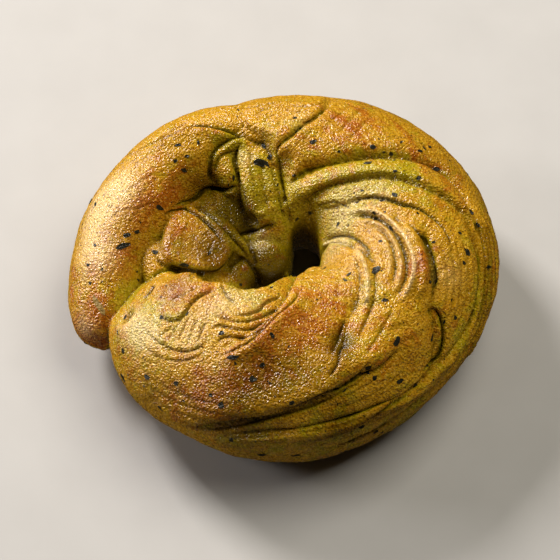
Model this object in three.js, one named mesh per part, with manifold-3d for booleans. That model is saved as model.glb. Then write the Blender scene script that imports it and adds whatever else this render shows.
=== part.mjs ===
// A hand-rolled bagel: one roll of twisted dough bent into a ring, with its tapered tail
// lying over the outside of its own beginning. Millimetres, +Z up. The origin is the middle
// of the underside's bounding box; +X is the long way across.
//
// The ring is drawn in two angles, both in degrees. "around" goes counterclockwise about the
// hole's middle, from +X. "over" goes round the roll: 0 is the outer side, 90 the top, 180 the
// hole side and -90 the underside. Places in the mouth and on the tail are plain x, y, z
// measured from the ring's middle on the table.

import * as THREE from 'three';
import { mergeVertices } from 'three/addons/utils/BufferGeometryUtils.js';
import Module from 'manifold-3d';

// Driving dimensions
const middleHeight = 19.5;        // of the roll's middle above the table
const halfHeightBelow = 23.5;     // from the roll's middle down, before the table presses it flat
const holeMiddle = [1.8, 5.0];
const holeHalfWidth = 4.2;
const holeHalfLength = 8.0;
const settleDepth = 2.0;          // how softly the underside flattens on the table
const flatDepth = 0.15;           // what is cut off the flattened underside, so that it is one flat face
const tableSize = 200;
const tableThickness = 20;

// Every 30 degrees counterclockwise from +X: the outer radius about the ring's middle, and how
// far the top stands over the roll's middle. The ring is low and narrow where the tail lies.
const outerRadii = [51.7, 53.2, 52.9, 51.8, 51.0, 45.0, 46.0, 52.6, 51.2, 49.6, 47.2, 47.8];
const topRises = [21, 21, 21, 21, 20, 13, 13.5, 18.5, 20.5, 20.5, 20.5, 21];

// Fineness of the facets. The grid's rows climb over the roll as they go round, as the folds do.
const aroundSteps = 86;
const overSteps = 52;
const twistSteps = 35;            // rows climbed in one turn round the ring
const ropeSides = 16;
const lumpSides = 14;
const lumpRings = 10;
const pointsPerSpan = 5;          // on a curve, between two of its given points
const stepWidth = 1.2;            // over which a fold's one side passes into its other

const crust = new THREE.MeshStandardMaterial({ color: 0xa8741f, roughness: 0.55, metalness: 0 });

const radians = THREE.MathUtils.degToRad;
const degrees = THREE.MathUtils.radToDeg;

// A smooth closed curve through evenly spaced values, read at an angle
function valueAtAngle(values, angle) {
  const count = values.length;
  const place = THREE.MathUtils.euclideanModulo(angle, 360) / 360 * count;
  const before = Math.floor(place);
  const share = place - before;
  const [a, b, c, d] = [-1, 0, 1, 2].map((step) => values[(before + step + count) % count]);
  return 0.5 * (2 * b + (c - a) * share + (2 * a - 5 * b + 4 * c - d) * share ** 2
    + (3 * b - a - 3 * c + d) * share ** 3);
}

// The hole's radius and the outer outline's, both from the hole's middle, at an angle
function outlineRadii(angle) {
  const cos = Math.cos(angle);
  const sin = Math.sin(angle);
  const inner = 1 / Math.hypot(cos / holeHalfWidth, sin / holeHalfLength);
  const along = cos * holeMiddle[0] + sin * holeMiddle[1];
  const offset = holeMiddle[0] ** 2 + holeMiddle[1] ** 2;
  let outer = outerRadii[0];
  for (let pass = 0; pass < 5; pass += 1) {
    const x = holeMiddle[0] + outer * cos;
    const y = holeMiddle[1] + outer * sin;
    const radius = valueAtAngle(outerRadii, degrees(Math.atan2(y, x)));
    outer = -along + Math.sqrt(along ** 2 - offset + radius ** 2);
  }
  return [inner, outer];
}

// Dough below the table's level is pressed up onto it
function settle(height) {
  if (height > settleDepth) return height;
  if (height < -settleDepth) return 0;
  return (height + settleDepth) ** 2 / (4 * settleDepth);
}

// A point of the smooth ring, raised by a relief, with the direction that it faces
function ringPoint(around, over, raised = 0) {
  const angle = radians(around);
  const [inner, outer] = outlineRadii(angle);
  const halfWidth = (outer - inner) / 2;
  const cos = Math.cos(radians(over));
  const sin = Math.sin(radians(over));
  const halfHeight = sin > 0 ? valueAtAngle(topRises, around) : halfHeightBelow;
  const outward = new THREE.Vector2(Math.cos(angle), Math.sin(angle));
  const flatPart = outward.clone().multiplyScalar(cos / halfWidth);
  const facing = new THREE.Vector3(flatPart.x, flatPart.y, sin / halfHeight).normalize();
  const radius = (inner + outer) / 2 + halfWidth * cos;
  const point = new THREE.Vector3(holeMiddle[0] + radius * outward.x, holeMiddle[1] + radius * outward.y,
    middleHeight + halfHeight * sin);
  point.addScaledVector(facing, raised);
  point.z = settle(point.z);
  return { point, facing };
}

function curvePoints(points, closed = false) {
  const curve = new THREE.CatmullRomCurve3(points, closed, 'catmullrom', 0.5);
  return curve.getPoints((points.length - (closed ? 0 : 1)) * pointsPerSpan);
}

// A line drawn on the ring, from its (around, over) points
function lineOnRing(places) {
  const flat = curvePoints(places.map(([around, over]) => new THREE.Vector3(around, over, 0)));
  return flat.map((place) => ringPoint(place.x, place.y).point);
}

// From a point to a line: the distance, the side (1 is the left of one walking along the line
// on the surface, -1 the right) and the share of the line's points that are passed
function nearestOnLine(point, facing, line) {
  const best = { distance: Infinity, side: 0, share: 0 };
  const span = new THREE.Line3();
  const closest = new THREE.Vector3();
  const step = new THREE.Vector3();
  for (let index = 0; index + 1 < line.length; index += 1) {
    span.set(line[index], line[index + 1]);
    const part = span.closestPointToPointParameter(point, true);
    span.at(part, closest);
    const distance = closest.distanceTo(point);
    if (distance < best.distance) {
      span.delta(step);
      best.distance = distance;
      best.side = Math.sign(step.cross(facing).negate().dot(closest.sub(point).negate()));
      best.share = (index + part) / (line.length - 1);
    }
  }
  return best;
}

// The folds: a V-shaped cut of a depth and width, with a swell of a height and reach beside it,
// on the left, the right or both. They fade in and out over a share of their length.
const folds = [
  {
    name: 'under the top bulge',
    places: [[112, 139], [94, 129], [69, 115], [50, 94], [28, 60], [8, 45], [-17, 28], [-42, 2], [-60, -14]],
    cut: 4.0, width: 2.2, right: [1.8, 6], fadeIn: 0.03, fadeOut: 0.2,
  },
  {
    name: 'second fold of the right side',
    places: [[96, 152], [70, 133], [47, 116], [28, 92], [11, 64], [-6, 42], [-35, 20], [-62, 12]],
    cut: 2.8, width: 1.8, left: [0.8, 4], right: [0.6, 4], fadeIn: 0.03, fadeOut: 0.3,
  },
  {
    name: 'third fold of the right side',
    places: [[74, 150], [35, 129], [20, 109], [8, 92], [-4, 70]],
    cut: 1.3, width: 1.5, left: [0.5, 3], fadeIn: 0.1, fadeOut: 0.3,
  },
  {
    name: 'rolled ridge on the right shoulder',
    places: [[2, 96], [-10, 90], [-22, 80], [-29, 76], [-42, 74]],
    left: [1.4, 3], right: [1.4, 3], fadeIn: 0.2, fadeOut: 0.25,
  },
  {
    name: 'groove outside the rolled ridge',
    places: [[-4, 82], [-12, 78], [-22, 70], [-32, 60], [-38, 50], [-45, 28]],
    cut: 2.4, width: 1.6, left: [0.6, 4], fadeIn: 0.15, fadeOut: 0.3,
  },
  {
    name: 'lip beside the hole',
    places: [[12, 166], [6, 160], [-18, 137], [-30, 118], [-38, 100]],
    cut: 2.0, width: 1.6, right: [1.4, 4], fadeIn: 0.1, fadeOut: 0.2,
  },
  {
    name: 'under the front bulge',
    places: [[-50, 58], [-62, 50], [-74, 51], [-86, 44], [-94, 39], [-104, 30], [-120, 7], [-128, -6]],
    cut: 2.4, width: 1.8, right: [2.2, 7], fadeIn: 0.15, fadeOut: 0.15,
  },
  {
    name: 'over the front bulge',
    places: [[-92, 152], [-98, 138], [-102, 112], [-109, 90], [-122, 60]],
    cut: 1.8, width: 1.8, left: [2.6, 9], fadeIn: 0.1, fadeOut: 0.3,
  },
  {
    name: 'beside the strap',
    places: [[112, 84], [113, 94], [112, 110], [116, 144], [118, 164]],
    cut: 3.0, width: 1.8, right: [0, 4], fadeIn: 0.2, fadeOut: 0.05,
  },
  {
    name: 'between the top pieces',
    places: [[112, 112], [97, 96], [84, 81], [81, 60], [81, 36]],
    cut: 1.8, width: 1.7, left: [1.0, 4], fadeIn: 0.1, fadeOut: 0.3,
  },
];

function foldRelief(fold, line, point, facing) {
  const { cut = 0, width = 1, left = [0, 1], right = [0, 1] } = fold;
  const near = nearestOnLine(point, facing, line);
  const leftShare = THREE.MathUtils.smoothstep(near.side * near.distance, -stepWidth, stepWidth);
  const [leftSwell, rightSwell] = [left, right].map(
    ([height, reach]) => height * Math.exp(-((near.distance / reach) ** 2)));
  const swell = THREE.MathUtils.lerp(rightSwell, leftSwell, leftShare);
  const fade = THREE.MathUtils.smoothstep(near.share, 0, fold.fadeIn)
    * THREE.MathUtils.smoothstep(1 - near.share, 0, fold.fadeOut);
  return fade * (swell - cut * Math.exp(-near.distance / width));
}

// The hollows, pressed down into the ring inside an outline of x, y points: the mouth where the
// roll's two ends meet, and the bed that the tail lies in
const hollows = [
  {
    name: 'mouth',
    outline: [
      [0, -5.5], [-3.6, -7.2], [-8, -10.2], [-13, -11.6], [-18, -9.8], [-22.5, -9.2], [-26, -6.2],
      [-33, -5.2], [-40, -6], [-46, 2], [-44, 14], [-36, 24], [-28, 30], [-22.5, 30], [-19, 32.5], [-14, 33.5],
      [-9, 31.5], [-5, 26], [-4, 21], [-2.3, 15.5], [-0.8, 10], [1, 2],
    ],
    rim: 32, floor: 16, steepness: 2.6, softness: 1.8,
  },
  {
    name: 'bed of the tail',
    outline: [
      [-31, -4], [-36.5, -7.5], [-39.5, -12], [-42.5, -16.5], [-47, -21.5], [-53, -26], [-64, -20],
      [-62, 10], [-50, 20], [-36, 8],
    ],
    rim: 30, floor: 12, steepness: 1.5, softness: 4,
  },
];

// How far a point lies inside a closed outline; negative outside it
function insideDistance(point, outline) {
  let inside = false;
  let distance = Infinity;
  const spot = new THREE.Vector3(point.x, point.y, 0);
  const span = new THREE.Line3();
  const closest = new THREE.Vector3();
  for (let index = 0; index < outline.length; index += 1) {
    const start = outline[index];
    const end = outline[(index + 1) % outline.length];
    const crossing = start.x + (end.x - start.x) * (spot.y - start.y) / (end.y - start.y);
    if ((start.y > spot.y) !== (end.y > spot.y) && spot.x < crossing) inside = !inside;
    span.set(start, end).closestPointToPoint(spot, true, closest);
    distance = Math.min(distance, closest.distanceTo(spot));
  }
  return inside ? distance : -distance;
}

function pressHollow(hollow, outline, point) {
  const { rim, floor, steepness, softness } = hollow;
  if (point.z < floor - softness) return;
  const wall = Math.max(floor, rim - steepness * insideDistance(point, outline));
  const mix = THREE.MathUtils.clamp(0.5 + 0.5 * (point.z - wall) / softness, 0, 1);
  point.z = point.z * (1 - mix) + wall * mix - softness * mix * (1 - mix);
}

// Moves the vertices of one of three's closed geometries, by its uv or its position, and
// returns a solid that can be joined
function solidFrom(geometry, wasm, move) {
  const position = geometry.getAttribute('position');
  const uv = geometry.getAttribute('uv');
  const vertex = new THREE.Vector3();
  for (let index = 0; index < position.count; index += 1) {
    vertex.fromBufferAttribute(position, index);
    const moved = move(vertex, uv.getX(index), uv.getY(index));
    position.setXYZ(index, moved.x, moved.y, moved.z);
  }
  geometry.deleteAttribute('normal');
  geometry.deleteAttribute('uv');
  const merged = mergeVertices(geometry, 1e-3);
  return new wasm.Manifold(new wasm.Mesh({
    numProp: 3,
    vertProperties: new Float32Array(merged.getAttribute('position').array),
    triVerts: new Uint32Array(merged.index.array),
  }));
}

function makeRing(wasm) {
  const lines = folds.map((fold) => lineOnRing(fold.places));
  const outlines = hollows.map(
    ({ outline }) => curvePoints(outline.map(([x, y]) => new THREE.Vector3(x, y, 0)), true));
  const geometry = new THREE.TorusGeometry(2, 1, overSteps, aroundSteps);
  return solidFrom(geometry, wasm, (vertex, alongShare, overShare) => {
    const turn = Math.round(alongShare * aroundSteps) / aroundSteps;
    const row = Math.round(overShare * overSteps) + turn * twistSteps;
    const around = turn < 1 ? turn * 360 : 0;
    const over = THREE.MathUtils.euclideanModulo(row, overSteps) / overSteps * 360;
    const smooth = ringPoint(around, over);
    const raised = folds.reduce(
      (sum, fold, index) => sum + foldRelief(fold, lines[index], smooth.point, smooth.facing), 0);
    const { point } = ringPoint(around, over, raised);
    hollows.forEach((hollow, index) => pressHollow(hollow, outlines[index], point));
    return point;
  });
}

// The ropes: swept along stations of a middle point, a half width and a half height.
// The tail's stations stand at an angle and a radius about the ring's middle.
const tailStations = [
  [101, 32, 18, 12, 14], [110, 36.5, 20, 14, 17.5], [121, 40.2, 21, 12.8, 17.5], [135, 43, 21, 12.2, 16.5],
  [149, 44.2, 20, 12.8, 15], [162, 45.7, 18.5, 12.4, 13.5], [173, 47.4, 17, 11.4, 12.5],
  [183, 48.8, 15.5, 10.2, 11.4], [190, 50.2, 14.5, 8.8, 10], [195, 51.4, 13.8, 6.6, 7.8],
  [198, 52, 13.2, 3.6, 4.4],
].map(([angle, radius, ...rest]) => {
  const middle = new THREE.Vector2(radius, 0).rotateAround(new THREE.Vector2(), radians(angle));
  return [middle.x, middle.y, ...rest];
});

const strapStations = [
  [-13, 37, 33, 2.5, 3], [-12.6, 32.5, 34, 4.2, 4.5], [-11.4, 27.5, 32, 5.4, 6], [-9.8, 22.5, 27.5, 6.2, 7],
  [-8, 18, 23, 6.8, 7], [-6, 14.5, 17, 7, 7], [-5, 12, 10, 6, 6],
];

function makeRope(stations, steps, wasm) {
  const middles = new THREE.CatmullRomCurve3(
    stations.map(([x, y, z]) => new THREE.Vector3(x, y, z)), false, 'catmullrom', 0.5);
  const sizes = new THREE.CatmullRomCurve3(
    stations.map(([, , , halfWidth, halfHeight]) => new THREE.Vector3(halfWidth, halfHeight, 0)),
    false, 'catmullrom', 0.5);
  const upright = new THREE.Vector3(0, 0, 1);
  const geometry = new THREE.CylinderGeometry(1, 1, 1, ropeSides, steps);
  return solidFrom(geometry, wasm, (vertex) => {
    const share = THREE.MathUtils.clamp(0.5 - vertex.y, 0, 1);
    const size = sizes.getPoint(share);
    const along = middles.getTangent(share);
    const sideways = new THREE.Vector3().crossVectors(along, upright).normalize();
    const upward = new THREE.Vector3().crossVectors(sideways, along);
    const point = middles.getPoint(share);
    point.addScaledVector(sideways, -vertex.x * size.x);
    point.addScaledVector(upward, vertex.z * size.y);
    point.z = settle(point.z);
    return point;
  });
}

// The lumps in the mouth: middle, half sizes, turn about Z and a tilt that sinks their +X end
const lumps = {
  lobe: { middle: [-26, 5, 21.5], halfSizes: [12.5, 10, 11], turn: -18, tilt: 4 },
  ball: { middle: [-8.2, 4, 15], halfSizes: [7.5, 8, 9.5], turn: 0, tilt: 0 },
  bump: { middle: [-14.5, -1.5, 18], halfSizes: [6, 5.5, 7], turn: 0, tilt: 0 },
  flap: { middle: [-19, 16.5, 20], halfSizes: [13, 10.5, 6], turn: -60, tilt: 28 },
  tuck: { middle: [-18.2, 27.5, 25], halfSizes: [5.2, 8.5, 10.5], turn: 25, tilt: 0 },
  skirt: { middle: [-33, -3, 21], halfSizes: [9, 6, 9], turn: 10, tilt: 0 },
};

function makeLump({ middle, halfSizes, turn, tilt }, wasm) {
  const placing = new THREE.Matrix4().makeTranslation(...middle);
  placing.multiply(new THREE.Matrix4().makeRotationZ(radians(turn)));
  placing.multiply(new THREE.Matrix4().makeRotationY(radians(tilt)));
  placing.multiply(new THREE.Matrix4().makeScale(...halfSizes));
  const geometry = new THREE.SphereGeometry(1, lumpSides, lumpRings);
  return solidFrom(geometry, wasm, (vertex) => vertex.applyMatrix4(placing));
}

// The table, whose upper side cuts the underside flat
function makeTable(wasm) {
  const geometry = new THREE.BoxGeometry(tableSize, tableSize, tableThickness);
  return solidFrom(geometry, wasm, (vertex) => vertex.setZ(vertex.z - tableThickness / 2 + flatDepth));
}

// The triangles of a mesh's largest shell: closed pockets left between joined pieces are dropped,
// so that the dough is filled there
function largestShell(triangles, vertexCount) {
  const parent = Array.from({ length: vertexCount }, (_, index) => index);
  const rootOf = (vertex) => {
    let root = vertex;
    while (parent[root] !== root) root = parent[root];
    parent[vertex] = root;
    return root;
  };
  for (let corner = 0; corner < triangles.length; corner += 3) {
    parent[rootOf(triangles[corner + 1])] = rootOf(triangles[corner]);
    parent[rootOf(triangles[corner + 2])] = rootOf(triangles[corner]);
  }
  const shells = new Map();
  for (let corner = 0; corner < triangles.length; corner += 3) {
    const root = rootOf(triangles[corner]);
    if (!shells.has(root)) shells.set(root, []);
    shells.get(root).push(triangles[corner], triangles[corner + 1], triangles[corner + 2]);
  }
  return [...shells.values()].reduce((most, shell) => (shell.length > most.length ? shell : most));
}

// Joins the pieces into one body of dough, with its origin under the middle of its box
function makeBagel(wasm) {
  const pieces = [
    makeRope(tailStations, 30, wasm),
    makeRope(strapStations, 14, wasm),
    ...Object.values(lumps).map((lump) => makeLump(lump, wasm)),
  ];
  const joined = pieces.reduce((sum, piece) => sum.add(piece), makeRing(wasm));
  const mesh = joined.subtract(makeTable(wasm)).getMesh();
  const geometry = new THREE.BufferGeometry();
  geometry.setAttribute('position', new THREE.BufferAttribute(new Float32Array(mesh.vertProperties), 3));
  geometry.setIndex(largestShell(mesh.triVerts, mesh.numVert));
  geometry.computeBoundingBox();
  const centre = geometry.boundingBox.getCenter(new THREE.Vector3());
  geometry.translate(-centre.x, -centre.y, -geometry.boundingBox.min.z);
  geometry.computeVertexNormals();
  const bagel = new THREE.Mesh(geometry, crust);
  bagel.name = 'bagel';
  return bagel;
}

const wasm = await Module();
wasm.setup();
const group = new THREE.Group();
group.add(makeBagel(wasm));

export default group;
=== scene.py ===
"""A hand-rolled bagel of green dough with flakes of leaf in it, golden brown where it baked.

The dough is shaped in millimetres, measured from the ring's middle on the table. Its large forms
follow the CAD solid: the ring with its folds, the tail, the strap and the lumps in the mouth. They
are joined into one skin, on which finer folds are drawn as they are seen from the camera.
"""

import math

import bpy
import numpy as np
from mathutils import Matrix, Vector
from mathutils.bvhtree import BVHTree


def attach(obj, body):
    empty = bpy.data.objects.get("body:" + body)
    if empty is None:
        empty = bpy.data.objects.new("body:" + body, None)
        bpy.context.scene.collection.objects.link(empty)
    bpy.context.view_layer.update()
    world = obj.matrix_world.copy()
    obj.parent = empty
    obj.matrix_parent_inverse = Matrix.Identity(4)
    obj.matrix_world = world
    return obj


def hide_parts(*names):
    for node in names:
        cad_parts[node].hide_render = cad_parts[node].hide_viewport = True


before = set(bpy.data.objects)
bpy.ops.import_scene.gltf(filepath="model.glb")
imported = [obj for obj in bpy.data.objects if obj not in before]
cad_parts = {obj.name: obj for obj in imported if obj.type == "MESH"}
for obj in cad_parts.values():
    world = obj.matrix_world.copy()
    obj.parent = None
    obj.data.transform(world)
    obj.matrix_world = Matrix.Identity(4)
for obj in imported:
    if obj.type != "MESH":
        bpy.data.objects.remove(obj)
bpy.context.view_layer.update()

METRES = 0.001                      # of a millimetre
RING_MIDDLE = (3.45, -1.05, 0.0)    # in the part's frame, mm

# The ring, mm and degrees. "around" goes counterclockwise about the hole from +X; "over" goes
# round the roll: 0 is the outer side, 90 the top, 180 the hole side and -90 the underside.
MIDDLE_HEIGHT = 19.5
HALF_HEIGHT_BELOW = 23.5
HOLE_MIDDLE = np.array([1.8, 5.0])
HOLE_HALF_SIZES = (4.2, 8.0)
SETTLE_DEPTH = 2.0
OUTER_RADII = [51.7, 53.2, 52.9, 51.8, 51.0, 45.0, 46.0, 52.6, 51.2, 49.6, 47.2, 47.8]
TOP_RISES = [21, 21, 21, 21, 20, 13, 13.5, 18.5, 20.5, 20.5, 20.5, 21]
AROUND_STEPS = 420
OVER_STEPS = 250
OUTLINE_ROUNDS = 5                  # in which the outer outline is found from the hole's middle
TWIST = 242.0                       # degrees that a fold climbs over the roll in one turn round the ring
CURVE_STEPS = 8                     # points from one place of a curve to the next
OUTLINE_STEPS = 4                   # the same on a hollow's outline,
VIEW_LINE_STEPS = 5                 # and on a line that is drawn in the view

# The skin
VOXEL = 0.38                        # size of the cells in which the pieces are joined, mm
JOINT_SMOOTHING = 2                 # rounds that soften the joints
MOST_TRIANGLES = 197000

# The camera, as the photograph was taken: it looks down on the ring along +Y
VIEW_ELEVATION = 60.0
VIEW_DISTANCE = 750.0
VIEW_PIXELS = 560
PIXELS_PER_MM = 3.9
RING_PIXEL = (297, 277)             # where the point that is RING_HEIGHT over the ring's middle is seen
RING_HEIGHT = 20.0
SENSOR_WIDTH = 36.0

# Folds of the ring: the (around, over) places of a cut, its depth and width, the height and reach
# of a swell on its left and on its right, and the shares of its length over which it fades in and out
FOLDS = {
    "under the top bulge": ([(112, 139), (94, 129), (69, 115), (50, 94), (38, 76), (28, 60), (18, 49),
        (8, 45), (-6, 40), (-17, 28), (-28, 15), (-42, 2), (-60, -3), (-80, -6), (-95, -8)], 4.2, 1.3,
        (0.3, 3), (1.0, 4), 0.03, 0.2),
    "second of the right side": ([(96, 152), (70, 133), (47, 116), (28, 92), (18, 78), (11, 64), (4, 52),
        (-6, 42), (-14, 34), (-22, 28), (-35, 22), (-56, 20), (-74, 24), (-90, 24), (-104, 17), (-116, 2)],
        2.8, 0.75, (2.0, 3), (0.8, 2.5), 0.03, 0.1),
    "third of the right side": ([(74, 150), (50, 140), (35, 129), (20, 109), (8, 92), (1, 76), (-4, 70)],
        1.2, 0.7, (1.0, 2.5), (0.3, 3), 0.1, 0.3),
    "rolled ridge on the right shoulder": ([(2, 96), (-10, 90), (-22, 80), (-29, 76), (-42, 74)], 0.0, 1.0,
        (1.4, 2.4), (1.4, 2.4), 0.2, 0.25),
    "groove outside the rolled ridge": ([(-6, 84), (-11, 81), (-22, 71), (-31, 60)], 2.2, 0.9, (0, 1),
        (0, 1), 0.2, 0.3),
    "deep groove below it": ([(-36, 62), (-38, 52), (-40, 44), (-45, 28), (-50, 22)], 3.0, 1.1, (1.0, 4),
        (0, 1), 0.15, 0.3),
    "lip beside the hole": ([(12, 166), (6, 160), (-18, 137), (-30, 118), (-38, 100)], 2.4, 0.8, (0, 1),
        (1.6, 4), 0.1, 0.2),
    "under the front bulge": ([(-50, 58), (-62, 50), (-74, 51), (-86, 44), (-94, 39), (-104, 30),
        (-111, 23), (-120, 7), (-128, -6)], 2.4, 0.9, (0, 1), (2.2, 7), 0.15, 0.15),
    "over the front bulge": ([(-92, 152), (-98, 138), (-102, 112), (-109, 90), (-114, 76), (-122, 60)], 1.8,
        1.0, (2.6, 9), (0, 1), 0.1, 0.3),
    "beside the strap": ([(112, 84), (113, 94), (112, 110), (115, 125), (116, 144), (118, 164)], 0.8, 0.7,
        (0, 1), (0, 4), 0.2, 0.05),
    "between the top pieces": ([(112, 112), (108, 104), (97, 96), (84, 81), (81, 60), (81, 36)], 1.1, 0.7,
        (1.0, 4), (0, 1), 0.1, 0.3),
}

# Hollows pressed into the ring: the outline, the height of its rim, its floor, the steepness of its
# wall and how softly the two join
HOLLOWS = {
    "mouth": ([(1.5, -5), (-3.6, -7.2), (-8, -10.2), (-13, -11.6), (-18, -9.8), (-22.5, -9.2), (-26, -6.2),
        (-33, -5.2), (-40, -6), (-46, 2), (-44, 14), (-36, 24), (-28, 30), (-22.5, 30), (-19, 32.5),
        (-14, 31.5), (-10, 29), (-7, 25), (-5.8, 21), (-4, 17.5), (-0.5, 13.5), (1.6, 10), (2.6, 2)], 32,
        15, 2.6, 1.8),
    "bed of the tail": ([(-31, -4), (-36.5, -7.5), (-39.5, -12), (-42.5, -16.5), (-47, -21.5), (-53, -26),
        (-64, -20), (-62, 10), (-50, 20), (-36, 8)], 30, 12, 1.5, 4),
    "bay right of the hole": ([(3, 9), (6.5, 8.8), (9.2, 7), (9.5, 4.5), (7, 1.5), (3, 0)], 34, 10, 5, 2.0),
    "crease right of the strap": ([(-5.5, 22.5), (-3.6, 21), (-2.4, 17), (-1, 13.5), (-6, 13.5), (-6, 18)],
        31, 28.5, 1.6, 1.5),
    "gap between the strap and the hole": ([(-4, 15), (-1.6, 15), (0, 12), (1.6, 6), (1, 0), (-3, -3),
        (-6, 4), (-6, 12)], 30, 7, 4.0, 1.2),
}

# Stations of the tail: angle and radius about the ring's middle, height, half width and half height
TAIL = [
    (101, 32, 18, 12, 14), (110, 36.5, 20, 14, 17.5), (121, 40.2, 21, 12.8, 17.5),
    (135, 43, 21, 12.2, 16.5), (149, 44.2, 20, 12.8, 15), (162, 45.7, 18.5, 12.4, 13.5),
    (173, 47.4, 17, 11.4, 12.5), (183, 48.8, 15.5, 10.2, 11.4), (190, 50.2, 14.5, 8.8, 10),
    (195, 51.4, 13.8, 6.6, 7.8), (198, 52, 13.2, 3.6, 4.4)
]

TAIL_SIDES = 72

# Stations of two ropes in the mouth: x, y, z, half width and half height
STRAP = [
    (-12, 31.5, 31, 2.0, 3), (-11.6, 29.5, 32, 3.8, 4.5), (-10.6, 26, 30.5, 4.8, 5.5),
    (-9.6, 22, 27.5, 5.2, 6.5), (-8.3, 18, 24, 5.4, 7), (-7, 14.5, 19.5, 5.8, 7), (-6.6, 11, 13, 6, 7)
]
BAND = [
    (-31, 15.5, 21, 1.5, 2), (-28, 15.6, 24, 2.6, 3.5), (-22.8, 13, 23.4, 3.4, 4.5),
    (-18, 9.6, 21, 3.6, 5.5), (-14.8, 7, 18, 3.4, 6), (-12.6, 4.2, 14, 2.8, 6)
]
STRAP_SIDES = 40
STRAP_SQUARENESS = 0.45
BAND_SIDES = 32

# Lumps in the mouth: middle, half sizes, turn about Z, a tilt that sinks their +X end, and how
# square their edges are
LUMPS = {
    "lobe": ((-26.6, 7, 19), (9.4, 8.2, 8.8), -15, 12, 0.8),
    "behind the flap": ((-20.5, 24.6, 20.5), (8.4, 5.2, 7), 20, 0, 0),
    "ball": ((-7.6, 7.4, 14), (6.7, 7.4, 10), 0, 0, 0.1),
    "bump": ((-13.8, 0.8, 16), (3.1, 4, 7), 0, 0, 0),
    "flap": ((-20.6, 14.4, 19.5), (10.5, 11.5, 5.5), -70, 28, 0.4),
    "tuck": ((-18.2, 27.5, 25), (5.2, 8.5, 10.5), 25, 0, 0),
    "skirt": ((-35.6, 2.5, 18), (5.5, 9.5, 9), 12, 0, 0.2),
    "lip's corner": ((4.5, -5.5, 22), (4.5, 5, 9.5), 0, 0, 0),
    "shelf": ((-22.5, -0.5, 15.5), (11, 6.5, 8.7), 0, 0, 0.4),
}
LUMP_RINGS = 40
LUMP_SIDES = 64

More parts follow.
